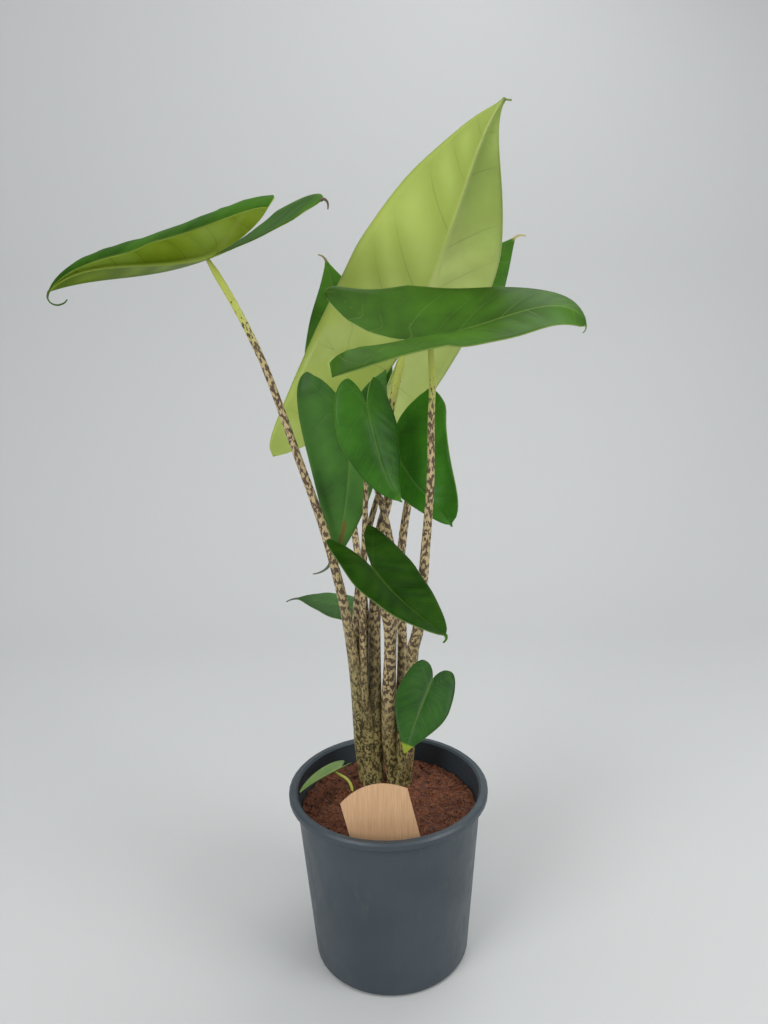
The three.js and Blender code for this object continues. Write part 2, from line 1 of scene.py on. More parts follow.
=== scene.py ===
"""Looks for the potted alocasia zebrina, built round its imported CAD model.

Blades, petioles and soil repeat the CAD's own values on finer grids. Angles are in degrees and
lengths in millimetres, but the lights and the camera are placed in metres.
"""
import math

import bpy
import numpy as np
from mathutils import Matrix, Vector


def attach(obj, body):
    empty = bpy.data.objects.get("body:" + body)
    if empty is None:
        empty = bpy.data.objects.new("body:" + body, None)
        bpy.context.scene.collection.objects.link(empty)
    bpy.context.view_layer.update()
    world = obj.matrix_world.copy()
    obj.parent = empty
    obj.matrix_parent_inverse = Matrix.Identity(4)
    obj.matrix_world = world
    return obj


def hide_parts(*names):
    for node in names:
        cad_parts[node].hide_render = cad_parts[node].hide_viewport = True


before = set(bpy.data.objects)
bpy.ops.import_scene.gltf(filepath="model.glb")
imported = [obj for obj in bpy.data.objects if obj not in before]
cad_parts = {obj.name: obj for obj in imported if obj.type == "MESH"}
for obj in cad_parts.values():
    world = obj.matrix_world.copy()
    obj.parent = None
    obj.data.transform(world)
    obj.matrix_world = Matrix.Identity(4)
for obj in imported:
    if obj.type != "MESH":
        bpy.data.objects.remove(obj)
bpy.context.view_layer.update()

MM = 0.001

# Camera, as it stood in the photograph
CAMERA_PLACE = (0.0025, -0.669, 0.583)
CAMERA_PITCH = 12.2
CAMERA_ROLL = 1.45
CAMERA_LENS = 27.07
CAMERA_REACH = 50
SENSOR_LONG_SIDE = 36.0

# Blades
BLADE_THICKNESS = 0.8
CAD_BLADE_THICKNESS = 0.9
WIDEST_AT = 0.36
SINUS_AT = 0.34
LOBE_ROWS = 16
BLADE_ROWS = 38
COLUMNS = 14
COLUMN_CROWDING = 1.5
TAIL_STEP = 1.2
TAIL_HALF_WIDTH = 1.5
TAIL_END_HALF_WIDTH = 0.45
SPINE_STEPS = 40

# Ribs and side veins of the blades
MIDRIB_HALF_WIDTH = 1.6
MIDRIB_HEIGHT = 1.2
RIB_SINK_ABOVE = 0.35
LOBE_RIB_HEIGHT = 0.7
QUILT_DEPTH = 0.55
FULL_QUILT_SIZE = 200
VEIN_HALF_WIDTH = 0.75
LEAST_VEIN_SPACING = 7.0
VEINS_PER_BLADE = 8

# Petioles
PETIOLE_SIDES = 18
PETIOLE_STEP = 4.0
ROUTE_STEPS = 24
SHEATH_BOTTOM = 138
CLEARANCE = 0.4

# Pot and soil, with its crumbs and fibres; a reach is a share of the soil's radius
POT_EDGE_ANGLE = 32
SOIL_LEVEL = 149
SOIL_MOUND = 3
SOIL_MOUND_WIDTH = 45
SOIL_MOUND_PLACE = (-3, 36)
SOIL_ROUGHNESS = 1.1
SOIL_RADIUS = 84.0
SOIL_BOTTOM_RADIUS = 73.0
SOIL_BOTTOM = 3.0
SOIL_RINGS = 46
SOIL_SPOKES = 160
SOIL_GRAIN = 0.45
SOIL_EDGE_GRAIN = 0.1
CRUMBS = 1500
CRUMB_REACH = 0.97
CRUMB_SIZE = 0.45
CRUMB_SPREAD = 1.3
FIBRES = 330
FIBRE_REACH = 0.94
FIBRE_END_REACH = 0.69
FIBRE_STEPS = 5
FIBRE_LENGTHS = (3, 11)
FIBRE_HALF_WIDTHS = (0.10, 0.22)

# Stage: a floor that bends up into a backdrop
STAGE_FRONT = -3000
STAGE_BACK = 1600
STAGE_HEIGHT = 3200
STAGE_HALF_WIDTH = 4000
STAGE_BEND = 800
STAGE_BEND_STEPS = 12
STAGE_COLOUR = (0.54, 0.55, 0.55)

# Lights: name, place, height that they aim at above the origin, size and power
LIGHTS = [
    ("light_top", (0.0, -0.2, 2.2), 0.4, (1.8, 1.8), 13),
    ("light_front_left", (-1.5, -1.6, 1.5), 0.45, (1.2, 1.4), 30),
    ("light_right", (1.6, -0.9, 1.3), 0.4, (1.0, 1.4), 19),
    ("light_back", (0.6, 0.8, 2.1), 0.5, (1.2, 0.8), 10),
]
SKY_COLOUR = (0.97, 0.985, 1.0, 1)
SKY_STRENGTH = 0.42

# Each blade, as in the CAD: where its petiole joins it, the heading, climb and bank of its midrib
# there, the flat outline, and how it bends. Pairs are of its left and right half, seen from above
# with the apex ahead. tail is the length, fall and sideways turn of its drip tip. PLAIN holds what
# most blades have in common.
PLAIN = dict(tapers=(1, 1), round=0.72, end_curl=0.6, flatten=(0, 0))
BLADES = {
    "blade_far_left": PLAIN | dict(
        at=(-133, -20, 656), heading=130.5, climb=-2.3, bank=35,
        length=182, lobe=130, widths=(48.6, 78), gaps=(28.6, 19.6),
        widest=-3, sinus=2, point=0.91, tapers=(0.58, 1.6), end_curl=0.85,
        arch=18, dip=61, sweep=46.6, twist=9,
        lobes=(-10.9, -12.3), folds=(68.8, 58), flatten=(-0.4, 0.8), curls=(-190.4, 16),
        tail=(30, 190, 0), wave=0.6),
    "blade_tall": PLAIN | dict(
        at=(23, 47, 579), heading=-18.7, climb=62, bank=-37.8,
        length=242.5, lobe=171, widths=(55.5, 82), gaps=(31.4, 44.7),
        widest=55, sinus=4, point=1.54,
        arch=37.9, dip=16.4, sweep=-46.3, twist=-45.3,
        lobes=(9.2, -37.1), folds=(20.3, 39), curls=(-54.6, 20.5),
        tail=(10, 60, -80), wave=1.6),
    "blade_front_right": PLAIN | dict(
        at=(42, -48, 587), heading=9, climb=11, bank=21,
        length=131, lobe=88, widths=(63, 56), gaps=(42, 67.3),
        widest=-11, sinus=2, point=0.64, tapers=(1, 1.07),
        arch=-33, dip=114, sweep=-34, twist=-3,
        lobes=(-41, 0.8), folds=(13, 38.5), flatten=(1.4, 2.17), curls=(22, -44.8),
        tail=(7, 60, 0), wave=0.8),
    "blade_right_middle": PLAIN | dict(
        at=(12, 36, 496), heading=-73, climb=-44, bank=-8,
        length=99, lobe=46, widths=(59, 26), gaps=(43, 30),
        widest=-7, sinus=2, point=0.69,
        arch=-12, dip=38, sweep=39, twist=15,
        lobes=(-23, -10), folds=(41, -6), curls=(25, -6),
        tail=(3, 20, 0), wave=0.6),
    "blade_left_hanging": PLAIN | dict(
        at=(-26, 8.5, 520), heading=-84, climb=-86, bank=-7,
        length=142, lobe=43, widths=(34, 45), gaps=(34, 34),
        widest=-21, sinus=3, point=1.26,
        arch=12, dip=38, sweep=-16, twist=2,
        lobes=(-3, 2), folds=(14, 0), curls=(-14, -30),
        tail=(24, -30, -70), wave=0.8),
    "blade_centre": PLAIN | dict(
        at=(-9, -16, 531), heading=-59, climb=-72, bank=-3,
        length=82, lobe=28, widths=(27, 30), gaps=(12, 12),
        widest=13, sinus=4, point=0.92,
        arch=5, dip=-32, sweep=17, twist=7,
        lobes=(1, 0), folds=(7, -4), curls=(-24, -40),
        tail=(3, 0, 20), wave=0.6),
    "blade_behind_right": PLAIN | dict(
        at=(70, 115, 607), heading=18, climb=46, bank=72,
        length=103, lobe=15, widths=(37, 37), gaps=(11, 11),
        widest=12, sinus=4, point=1.13,
        arch=-5, dip=-4, sweep=1, twist=0,
        lobes=(0, 0), folds=(11, 10), curls=(-18, -20),
        tail=(13, 0, -80), wave=1),
    "blade_behind_left": PLAIN | dict(
        at=(-29, 114, 564), heading=121, climb=76, bank=-41,
        length=105, lobe=51, widths=(43, 44), gaps=(18, 18),
        widest=6, sinus=4, point=1.19,
        arch=-2, dip=-14, sweep=6, twist=0,
        lobes=(-2, 0), folds=(16, 7), curls=(-12, -25),
        tail=(11, 0, 70), wave=1),
    "blade_front_glossy": PLAIN | dict(
        at=(-6.6, -50, 399), heading=-62, climb=-22, bank=5,
        length=96, lobe=55, widths=(31, 28), gaps=(19, 19),
        widest=5, sinus=4, point=0.73,
        arch=-9, dip=5, sweep=14, twist=1,
        lobes=(-3, 13), folds=(17, 17), curls=(-10, -10),
        tail=(8, 40, -110), wave=0.6),
    "blade_low_right": PLAIN | dict(
        at=(33, -44, 277), heading=-120, climb=-37, bank=-20,
        length=46, lobe=36, widths=(24, 25), gaps=(13, 13),
        widest=1, sinus=23, point=1.2, round=1,
        arch=22, dip=21, sweep=0, twist=3,
        lobes=(1, 0), folds=(7, 14), curls=(-25, -14),
        tail=(2, 20, 0), wave=0.4),
    "blade_low_left": PLAIN | dict(
        at=(-34.6, 75, 324), heading=183, climb=14, bank=-9,
        length=53, lobe=19, widths=(25, 25), gaps=(15, 15),
        widest=7, sinus=8, point=1.09,
        arch=-1, dip=14, sweep=-2, twist=-3,
        lobes=(1, -1), folds=(7, 10), curls=(-24, -20),
        tail=(13, 35, 0), wave=0.4),
}
YOUNG_BLADE = PLAIN | dict(
    at=(-54, 25, 171), heading=228, climb=4, bank=10,
    length=43, lobe=20, widths=(10, 10), gaps=(5, 5),
    widest=-2, sinus=12, point=1,
    arch=6, dip=10, sweep=0, twist=0,
    lobes=(4, 4), folds=(20, 20), curls=(10, 10),
    tail=(3, 10, 0), wave=0,
)
YOUNG_PETIOLE = dict(
    top=1.3, foot=1.6, sides=12,
    route=[(-49, 24, 168), (-41, 23, 163), (-36.6, 22, 155), (-36, 22, 134)],
)

# Looks of each blade, in linear colours: upper and under are its two sides, and tip is its drip
# tip, from the share tip_from of the midrib on. Some blades give the right half of their under side
# a
# darker colour of its own: painted shade, where that half faces away from the light. veins is how
# much the side veins show above. rough, coat and specular are the gloss of the upper side, sheen is
# that of the under side.
LOOKS = {
    "blade_far_left": dict(
        upper=(0.026, 0.085, 0.006), under=(0.280, 0.375, 0.011), tip=(0.055, 0.12, 0.02),
        painted_shade_right_under=(0.095, 0.165, 0.003),
        veins=0.10, rough=0.55, coat=0.0, specular=0.03, sheen=0.03),
    "blade_tall": dict(
        upper=(0.040, 0.150, 0.015), under=(0.490, 0.565, 0.155), tip=(0.17, 0.20, 0.04),
        painted_shade_right_under=(0.380, 0.460, 0.082),
        veins=0.25, rough=0.44, coat=0.05, sheen=0.45),
    "blade_front_right": dict(
        upper=(0.034, 0.100, 0.007), under=(0.26, 0.36, 0.075), tip=(0.25, 0.34, 0.10),
        veins=0.25, rough=0.50, coat=0.0),
    "blade_right_middle": dict(
        upper=(0.030, 0.150, 0.008), under=(0.20, 0.30, 0.06), tip=(0.04, 0.15, 0.01),
        veins=0.10, rough=0.40, coat=0.10),
    "blade_left_hanging": dict(
        upper=(0.062, 0.175, 0.034), under=(0.24, 0.34, 0.08), tip=(0.14, 0.16, 0.11),
        veins=0.10, rough=0.48, coat=0.05),
    "blade_centre": dict(
        upper=(0.028, 0.120, 0.010), under=(0.20, 0.30, 0.06), tip=(0.05, 0.16, 0.01),
        tip_from=0.95, veins=0.10, rough=0.42, coat=0.10),
    "blade_behind_right": dict(
        upper=(0.045, 0.140, 0.012), under=(0.18, 0.28, 0.06), tip=(0.46, 0.40, 0.16),
        tip_from=0.99, veins=0.14, rough=0.46, coat=0.05),
    "blade_behind_left": dict(
        upper=(0.045, 0.135, 0.010), under=(0.22, 0.32, 0.07), tip=(0.22, 0.20, 0.10),
        veins=0.16, rough=0.44, coat=0.05),
    "blade_front_glossy": dict(
        upper=(0.0055, 0.034, 0.0015), under=(0.14, 0.21, 0.04), tip=(0.04, 0.12, 0.01),
        veins=0.04, rough=0.36, coat=0.05, specular=0.06),
    "blade_low_right": dict(
        upper=(0.020, 0.078, 0.013), under=(0.18, 0.27, 0.06), tip=(0.24, 0.30, 0.03),
        tip_from=0.86, veins=0.08, rough=0.42, coat=0.10),
    "blade_low_left": dict(
        upper=(0.036, 0.105, 0.026), under=(0.16, 0.24, 0.06), tip=(0.08, 0.10, 0.06),
        veins=0.10, rough=0.48, coat=0.05),
}

# A short brown scar beside the midrib of one blade
STREAKED_BLADE = "blade_left_hanging"
STREAK = (0.20, 0.10, 0.03)

# The dry hook at the end of a lobe: points of its route from there, in mm
DRY_HOOK = [(-1.5, 0, -0.5), (0.5, 0, 0.3), (2.4, 0, -0.6), (3.6, 0, -3.2), (3.3, 0, -6.6)]
DRY_HOOK_RADIUS = 1.3
DRY_HOOK_TAPER = 0.9
DRY_HOOK_SIDES = 8
DRY_COLOUR = (0.085, 0.065, 0.035)

# Each petiole: its blade, its radius at the top and at the foot, how low it swells into its sheath
# (1 is evenly), and the points on its way down.
LEFT_PETIOLES = [
    ("blade_far_left", 3, 8.4, 2.4, [
        (-115, -18, 618), (-96, -15, 574), (-71, -9, 492), (-51, -3, 423), (-37, 5, 354),
        (-31, 14, 303), (-28, 23, 257), (-25.5, 31, 195), (-21, 36, 150)]),
    ("blade_right_middle", 2.2, 9.6, 1.4, [
        (10, 38, 484), (2, 37, 460), (-6, 35, 436), (-14, 32, 408), (-24, 28, 348),
        (-26, 26, 307), (-24, 27, 268), (-20, 31, 210), (-18, 34, 150)]),
    ("blade_tall", 3.4, 8.6, 1.4, [
        (16, 47, 545), (8, 49, 509), (8, 47, 480), (7, 43, 444), (-1, 40, 414), (-6, 37, 385),
        (-8, 36, 346), (-10, 35, 305), (-11, 35, 262), (-12, 35, 205), (-13, 36.5, 150)]),
    ("blade_centre", 2, 5.2, 1.4, [
        (-11, -5, 495), (-14, 2, 441), (-17, 8, 393), (-20, 14, 334), (-21, 20, 273),
        (-20, 29, 200), (-20, 33, 150)]),
    ("blade_behind_left", 2.4, 6, 1.4, [
        (-29, 121, 545), (-30, 120, 500), (-30, 113, 450), (-29, 96, 412), (-24, 68, 375),
        (-19, 46, 335), (-18, 41, 283), (-18, 41, 224), (-18, 40, 150)]),
    ("blade_low_left", 1.7, 4, 1.4, [
        (-30, 68, 300), (-25, 57, 265), (-20, 46, 223), (-20, 40, 150)]),
]
RIGHT_PETIOLES = [
    ("blade_left_hanging", 2.4, 7.4, 1.4, [
        (-23, 18, 505), (-14, 24, 482), (-5, 26, 460), (3, 25, 430), (8, 25, 403),
        (16, 27, 345), (17, 29, 303), (16, 30, 262), (13, 32, 200), (10, 34, 150)]),
    ("blade_front_right", 2.6, 9.4, 1.6, [
        (44, -42, 555), (43, -38, 522), (42, -34, 470), (38, -25, 415), (31, -5, 330),
        (26, 7, 303), (23, 15, 258), (20, 25, 203), (14.4, 35, 150)]),
    ("blade_behind_right", 2.7, 7, 1.4, [
        (66, 119, 588), (55, 116, 552), (43, 102, 508), (28, 74, 440), (22, 64, 410),
        (18, 55, 385), (12, 48, 353), (9, 45, 326), (6, 43, 290), (5, 41, 258), (8, 39, 203),
        (11.5, 40, 150)]),
    ("blade_front_glossy", 2.6, 7.8, 0.55, [
        (-5, -35, 384), (-1, -15, 360), (4.5, 3, 330), (5, 14, 297), (2.6, 22, 257),
        (1.9, 29, 200), (6.5, 35, 150)]),
    ("blade_low_right", 1.8, 4.5, 1.4, [
        (30, -26, 255), (25, -6, 226), (20.5, 13, 190), (14.5, 32, 150)]),
]

SOIL_COLOURS = ((0.070, 0.020, 0.009), (0.170, 0.048, 0.018), (0.24, 0.090, 0.035))
FIBRE_COLOURS = ((0.12, 0.05, 0.022), (0.24, 0.12, 0.055), (0.32, 0.18, 0.09))
SOIL_SHADOW = (0.012, 0.006, 0.004)


# Materials
class Nodes:
    """Short names for the shader nodes of one material."""

    def __init__(self, name):
        self.material = bpy.data.materials.new(name)
        self.material.use_nodes = True
        self.tree = self.material.node_tree
        self.shader = self.tree.nodes["Principled BSDF"]

    def new(self, kind):
        return self.tree.nodes.new("ShaderNode" + kind)

    def put(self, socket, value):
        """Links an output to the socket, or sets the socket's own value."""
        if isinstance(value, bpy.types.NodeSocket):
            self.tree.links.new(value, socket)
        elif socket.type == "RGBA":
            socket.default_value = (*value, 1)
        else:
            socket.default_value = value

    def fill(self, node, **values):
        for name, value in values.items():
            self.put(node.inputs[name.replace("_", " ")], value)

    def set(self, **values):
        self.fill(self.shader, **values)

    def glow(self, weight, radius, scale):
        self.set(Subsurface_Weight=weight, Subsurface_Radius=radius, Subsurface_Scale=scale)

    def attribute(self, name, output="Fac"):
        node = self.new("Attribute")
        node.attribute_name = name
        return node.outputs[output]

    def place(self):
        return self.new("TexCoord").outputs["Object"]

    def scaled(self, vector, scale):
        node = self.new("VectorMath")
        node.operation = "MULTIPLY"
        self.put(node.inputs[0], vector)
        self.put(node.inputs[1], scale)
        return node.outputs["Vector"]

    def noise(self, vector, scale, detail=3.0, rough=0.55, distortion=0.0):
        node = self.new("TexNoise")
        self.fill(node, Vector=vector, Scale=scale, Detail=detail, Roughness=rough)
        self.fill(node, Distortion=distortion)
        return node.outputs["Fac"]

    def voronoi(self, vector, scale, output="Distance"):
        node = self.new("TexVoronoi")
        self.fill(node, Vector=vector, Scale=scale)
        return node.outputs[output]

    def split(self, kind, value):
        node = self.new("Separate" + kind)
        self.put(node.inputs[0], value)
        return node.outputs

    def math(self, operation, a, b=0.0):
        node = self.new("Math")
        node.operation = operation
        self.put(node.inputs[0], a)
        self.put(node.inputs[1], b)
        return node.outputs[0]

    def plus(self, a, b):
        return self.math("ADD", a, b)

    def times(self, a, b):
        return self.math("MULTIPLY", a, b)

    def ramp(self, value, low, high, to_low=0.0, to_high=1.0):
        """A smooth step from to_low, where the value is low, to to_high, where it is high."""
        node = self.new("MapRange")
        node.interpolation_type = "SMOOTHSTEP"
        self.fill(node, Value=value, From_Min=low, From_Max=high, To_Min=to_low, To_Max=to_high)
        return node.outputs["Result"]

    def mix(self, share, a, b):
        node = self.new("Mix")
        node.data_type = "RGBA"
        for socket, value in ((0, share), (6, a), (7, b)):
            self.put(node.inputs[socket], value)
        return node.outputs[2]

    def over(self, colour, mask, strength, other):
        """The colour, with that strength of the other one over it where the mask is 1."""
        return self.mix(self.times(mask, strength), colour, other)

    def bump(self, height, distance, strength):
        node = self.new("Bump")
        self.fill(node, Height=height, Distance=distance, Strength=strength)
        self.put(self.shader.inputs["Normal"], node.outputs["Normal"])


def shade(colour, share):
    return tuple(c * share for c in colour)


def toward(colour, other, share):
    return tuple(a + (b - a) * share for a, b in zip(colour, other))


def vein_line(nodes, spacing, half_width):
    """1 on a side vein, from the phase attribute, whose whole numbers are the veins."""
    shifted = nodes.math("FRACT", nodes.plus(nodes.attribute("phase"), 0.5))
    off = nodes.math("ABSOLUTE", nodes.math("SUBTRACT", shifted, 0.5))
    line = nodes.ramp(off, 0.0, half_width / spacing, 1.0, 0.0)
    return nodes.times(line, nodes.ramp(nodes.attribute("across"), 0.5, 1.0, 1.0, 0.1))


def margin_mask(nodes):
    return nodes.ramp(nodes.attribute("across"), 0.965, 1.0)


def tip_mask(nodes, look):
    """1 on the drip tip, whose colour starts with a soft border."""
    start = look.get("tip_from", 1.0)
    return nodes.ramp(nodes.attribute("along"), start - 0.02, start + 0.03)


def streak_mask(nodes):
    """1 on a short scar beside the midrib, towards the apex."""
    along = nodes.attribute("along")
    beside = nodes.attribute("beside")
    length = nodes.times(nodes.ramp(along, 0.62, 0.66), nodes.ramp(along, 0.78, 0.82, 1.0, 0.0))
    width = nodes.times(nodes.ramp(beside, 0.0, 0.5), nodes.ramp(beside, 3.2, 4.4, 1.0, 0.0))
    return nodes.times(length, width)


def blade_upper(name, look, spacing):
    nodes = Nodes(name + "_upper")
    place = nodes.place()
    green = look["upper"]
    rough = look["rough"]
    line = vein_line(nodes, spacing, VEIN_HALF_WIDTH * 1.3)
    cloud = nodes.noise(place, 15.0, 4.0, 0.6)
    light = toward(shade(green, 1.3), (0.16, 0.34, 0.03), 0.1)
    colour = nodes.mix(nodes.ramp(cloud, 0.32, 0.7), shade(green, 0.72), light)
    # Painted light: the swellings between the veins are lighter, as if lit, so the hollows between
    # them read as shade
    quilt = nodes.attribute("quilt")
    colour = nodes.over(colour, quilt, 0.4, toward(green, (0.12, 0.32, 0.02), 0.2))
    colour = nodes.over(colour, line, look["veins"], toward(green, (0.30, 0.46, 0.10), 0.5))
    rib = nodes.ramp(nodes.attribute("rib"), 0.3, 0.9)
    rib_strength = 0.2 + 1.6 * look["veins"]
    colour = nodes.over(colour, rib, rib_strength, toward(green, (0.34, 0.46, 0.10), 0.38))
    margin = toward(green, (0.40, 0.5, 0.14), 0.4)
    colour = nodes.over(colour, margin_mask(nodes), 0.35, margin)
    spots = nodes.ramp(nodes.voronoi(place, 420.0), 0.0, 0.14, 1.0, 0.0)
    colour = nodes.over(colour, spots, 0.08, (0.3, 0.4, 0.15))
    if name == STREAKED_BLADE:
        colour = nodes.over(colour, streak_mask(nodes), 0.75, STREAK)
    colour = nodes.mix(tip_mask(nodes, look), colour, look["tip"])
    nodes.set(Base_Color=colour, Roughness=nodes.ramp(cloud, 0.2, 0.8, rough - 0.05, rough + 0.08))
    nodes.glow(0.1, (0.4, 1.0, 0.2), 0.002)
    nodes.set(Specular_IOR_Level=look.get("specular", 0.1))
    nodes.set(Coat_Weight=look["coat"], Coat_Roughness=0.22)
    fine = nodes.noise(place, 900.0, 2.0)
    nodes.bump(nodes.plus(nodes.times(line, -0.8), nodes.times(fine, 0.12)), 0.0004, 0.6)
    return nodes.material


def blade_under(name, look, spacing):
    nodes = Nodes(name + "_under")
    place = nodes.place()
    green = look["under"]
    line = vein_line(nodes, spacing, VEIN_HALF_WIDTH)
    cloud = nodes.noise(place, 11.0, 4.0, 0.55)
    light = toward(shade(green, 1.1), (0.50, 0.58, 0.26), 0.25)
    colour = nodes.mix(nodes.ramp(cloud, 0.36, 0.64), shade(green, 0.83), light)
    # Painted shade: where a look gives it, the right half of the under side takes a darker colour,
    # as if it faced away from the light
    if "painted_shade_right_under" in look:
        right = nodes.ramp(nodes.attribute("beside"), -2.0, 0.0, 0.9, 0.0)
        colour = nodes.mix(right, colour, look["painted_shade_right_under"])
    colour = nodes.over(colour, line, 0.55, shade(green, 0.4))
    # Painted sheen: the under side is lighter where it swells between the veins, as if light caught
    # the swellings
    between = toward(shade(green, 1.35), (0.62, 0.70, 0.36), 0.1)
    colour = nodes.over(colour, nodes.attribute("quilt"), 0.3, between)
    mesh = nodes.ramp(nodes.voronoi(place, 260.0), 0.02, 0.1, 1.0, 0.0)
    colour = nodes.over(colour, mesh, 0.08, shade(green, 0.5))
    rib = nodes.ramp(nodes.attribute("rib"), 0.1, 0.9)
    colour = nodes.over(colour, rib, 0.7, toward(green, (0.50, 0.62, 0.20), 0.4))
    colour = nodes.over(colour, margin_mask(nodes), 0.45, shade(green, 0.5))
    colour = nodes.mix(tip_mask(nodes, look), colour, look["tip"])
    nodes.set(Base_Color=colour, Roughness=0.42, Specular_IOR_Level=look.get("sheen", 0.15))
    nodes.glow(0.2, (0.5, 1.0, 0.2), 0.003)
    fine = nodes.noise(place, 700.0, 2.0)
    swell = nodes.noise(place, 26.0, 2.0, 0.5)
    height = nodes.plus(nodes.times(line, 0.7), nodes.times(fine, 0.15))
    nodes.bump(nodes.plus(height, nodes.times(swell, 9.0)), 0.0004, 0.6)
    return nodes.material


def petiole_material(name):
    """Yellow-green, cream, then olive, with irregular dark bands that crowd towards the foot."""
    nodes = Nodes(name)
    wrap = nodes.attribute("wrap", "Vector")
    share = nodes.attribute("share")

    def skin_noise(scale, *settings):
        return nodes.noise(nodes.scaled(wrap, scale), 1.0, *settings)

    run = nodes.split("XYZ", wrap)["Z"]
    wander = skin_noise((0.9, 0.9, 0.5), 2.0, 0.5)
    phase = nodes.plus(nodes.times(run, 6.6), nodes.times(wander, 16.0))
    wave = nodes.times(nodes.math("SINE", phase), 0.3)
    blotch = skin_noise((0.95, 0.95, 2.3), 2.5, 0.55, 0.5)
    field = nodes.plus(wave, nodes.times(nodes.math("SUBTRACT", blotch, 0.5), 3.0))
    level = nodes.ramp(share, 0.0, 0.16, 0.9, -0.04)
    bands = nodes.ramp(nodes.math("SUBTRACT", field, level), -0.1, 0.12)
    flecks = skin_noise((1.45, 1.45, 2.4), 3.0, 0.6, 0.7)
    dense = nodes.ramp(flecks, 0.46, 0.54)
    low = nodes.ramp(share, 0.55, 0.85)
    high = nodes.math("SUBTRACT", 1.0, low)
    marks = nodes.plus(nodes.times(bands, high), nodes.times(dense, low))
    pale = nodes.mix(nodes.ramp(share, 0.06, 0.17), (0.50, 0.56, 0.095), (0.52, 0.41, 0.21))
    pale = nodes.mix(nodes.ramp(share, 0.45, 0.9), pale, (0.33, 0.28, 0.11))
    blush = skin_noise((0.8, 0.8, 0.5), 2.0)
    pale = nodes.mix(nodes.ramp(blush, 0.5, 0.75, 0.0, 0.4), pale, (0.42, 0.27, 0.14))
    dark = nodes.mix(nodes.ramp(share, 0.5, 0.9), (0.060, 0.030, 0.017), (0.034, 0.027, 0.009))
    colour = nodes.over(pale, marks, 0.92, dark)
    nodes.set(Base_Color=colour, Roughness=nodes.ramp(flecks, 0.2, 0.8, 0.38, 0.55))
    nodes.glow(0.08, (0.8, 0.7, 0.3), 0.002)
    streak = skin_noise((9.0, 9.0, 0.35), 3.0)
    nodes.bump(nodes.plus(nodes.times(streak, 0.6), nodes.times(marks, 0.2)), 0.0004, 0.6)
    return nodes.material


def young_material(name, spacing):
    nodes = Nodes(name)
    place = nodes.place()
    cloud = nodes.ramp(nodes.noise(place, 60.0, 4.0), 0.3, 0.7)
    colour = nodes.mix(cloud, (0.17, 0.26, 0.065), (0.12, 0.22, 0.05))
    line = vein_line(nodes, spacing, VEIN_HALF_WIDTH * 0.8)
    colour = nodes.over(colour, line, 0.3, (0.10, 0.18, 0.03))
    rib = nodes.ramp(nodes.attribute("rib"), 0.3, 1.0)
    colour = nodes.mix(rib, colour, (0.28, 0.34, 0.12))
    nodes.set(Base_Color=colour, Roughness=0.42, Specular_IOR_Level=0.4)
    nodes.glow(0.15, (0.5, 1.0, 0.2), 0.002)
    nodes.bump(nodes.noise(place, 500.0, 3.0), 0.0003, 0.5)
    return nodes.material


def pot_material():
    nodes = Nodes("pot_plastic_moulded")
    place = nodes.place()
    cloud = nodes.ramp(nodes.noise(place, 14.0, 4.0), 0.3, 0.7)
    dust = nodes.noise(nodes.scaled(place, (1.0, 1.0, 0.4)), 60.0, 5.0, 0.65)
    colour = nodes.mix(cloud, (0.031, 0.045, 0.057), (0.042, 0.058, 0.071))
    colour = nodes.mix(nodes.ramp(dust, 0.55, 0.8, 0.0, 0.25), colour, (0.16, 0.17, 0.16))
    nodes.set(Base_Color=colour, Roughness=nodes.ramp(dust, 0.3, 0.8, 0.34, 0.55))
    nodes.bump(nodes.noise(place, 1500.0, 2.0), 0.0002, 0.35)
    return nodes.material


def soil_material(name, colours, scale):
    """Lumps of the first two colours, with grains of the third and dark gaps between them."""
    nodes = Nodes(name)
    place = nodes.place()
    lumps = nodes.noise(place, scale, 6.0, 0.7)
    grains = nodes.split("Color", nodes.voronoi(place, scale * 3.4, "Color"))
    colour = nodes.mix(nodes.ramp(lumps, 0.32, 0.68), colours[0], colours[1])
    colour = nodes.mix(nodes.ramp(grains[0], 0.55, 0.95, 0.0, 0.7), colour, colours[2])
    colour = nodes.mix(nodes.ramp(grains[1], 0.8, 1.0, 0.0, 0.8), colour, SOIL_SHADOW)
    nodes.set(Base_Color=colour, Roughness=nodes.ramp(lumps, 0.3, 0.7, 0.65, 0.95))
    nodes.bump(nodes.noise(place, scale * 5, 5.0, 0.7), 0.0012, 0.9)
    return nodes.material


def label_material():
    nodes = Nodes("label_wood_bare")
    place = nodes.place()
    grain = nodes.noise(nodes.scaled(place, (1.0, 1.0, 0.035)), 900.0, 5.0, 0.6, 0.5)
    wide = nodes.noise(nodes.scaled(place, (1.0, 1.0, 0.12)), 90.0, 3.0)
    colour = nodes.mix(nodes.ramp(grain, 0.3, 0.72), (0.54, 0.32, 0.17), (0.66, 0.42, 0.235))
    colour = nodes.mix(nodes.ramp(wide, 0.45, 0.75, 0.0, 0.4), colour, (0.58, 0.34, 0.18))
    nodes.set(Base_Color=colour, Roughness=0.62)
    nodes.bump(grain, 0.0003, 0.5)
    return nodes.material


def flat_material(name, colour, roughness):
    nodes = Nodes(name)
    nodes.set(Base_Color=colour, Roughness=roughness)
    return nodes.material


# Meshes
def mesh_object(name, points, faces, materials, face_slots=None, smooth=True):
    """An object at the origin whose points are in millimetres."""
    mesh = bpy.data.meshes.new(name)
    vertices = [tuple(float(c) * MM for c in p) for p in points]
    mesh.from_pydata(vertices, [], [tuple(f) for f in faces])
    for material in materials:
        mesh.materials.append(material)
    if face_slots is not None:
        mesh.polygons.foreach_set("material_index", face_slots)
    mesh.polygons.foreach_set("use_smooth", [smooth] * len(mesh.polygons))
    made = bpy.data.objects.new(name, mesh)
    bpy.context.scene.collection.objects.link(made)
    return made


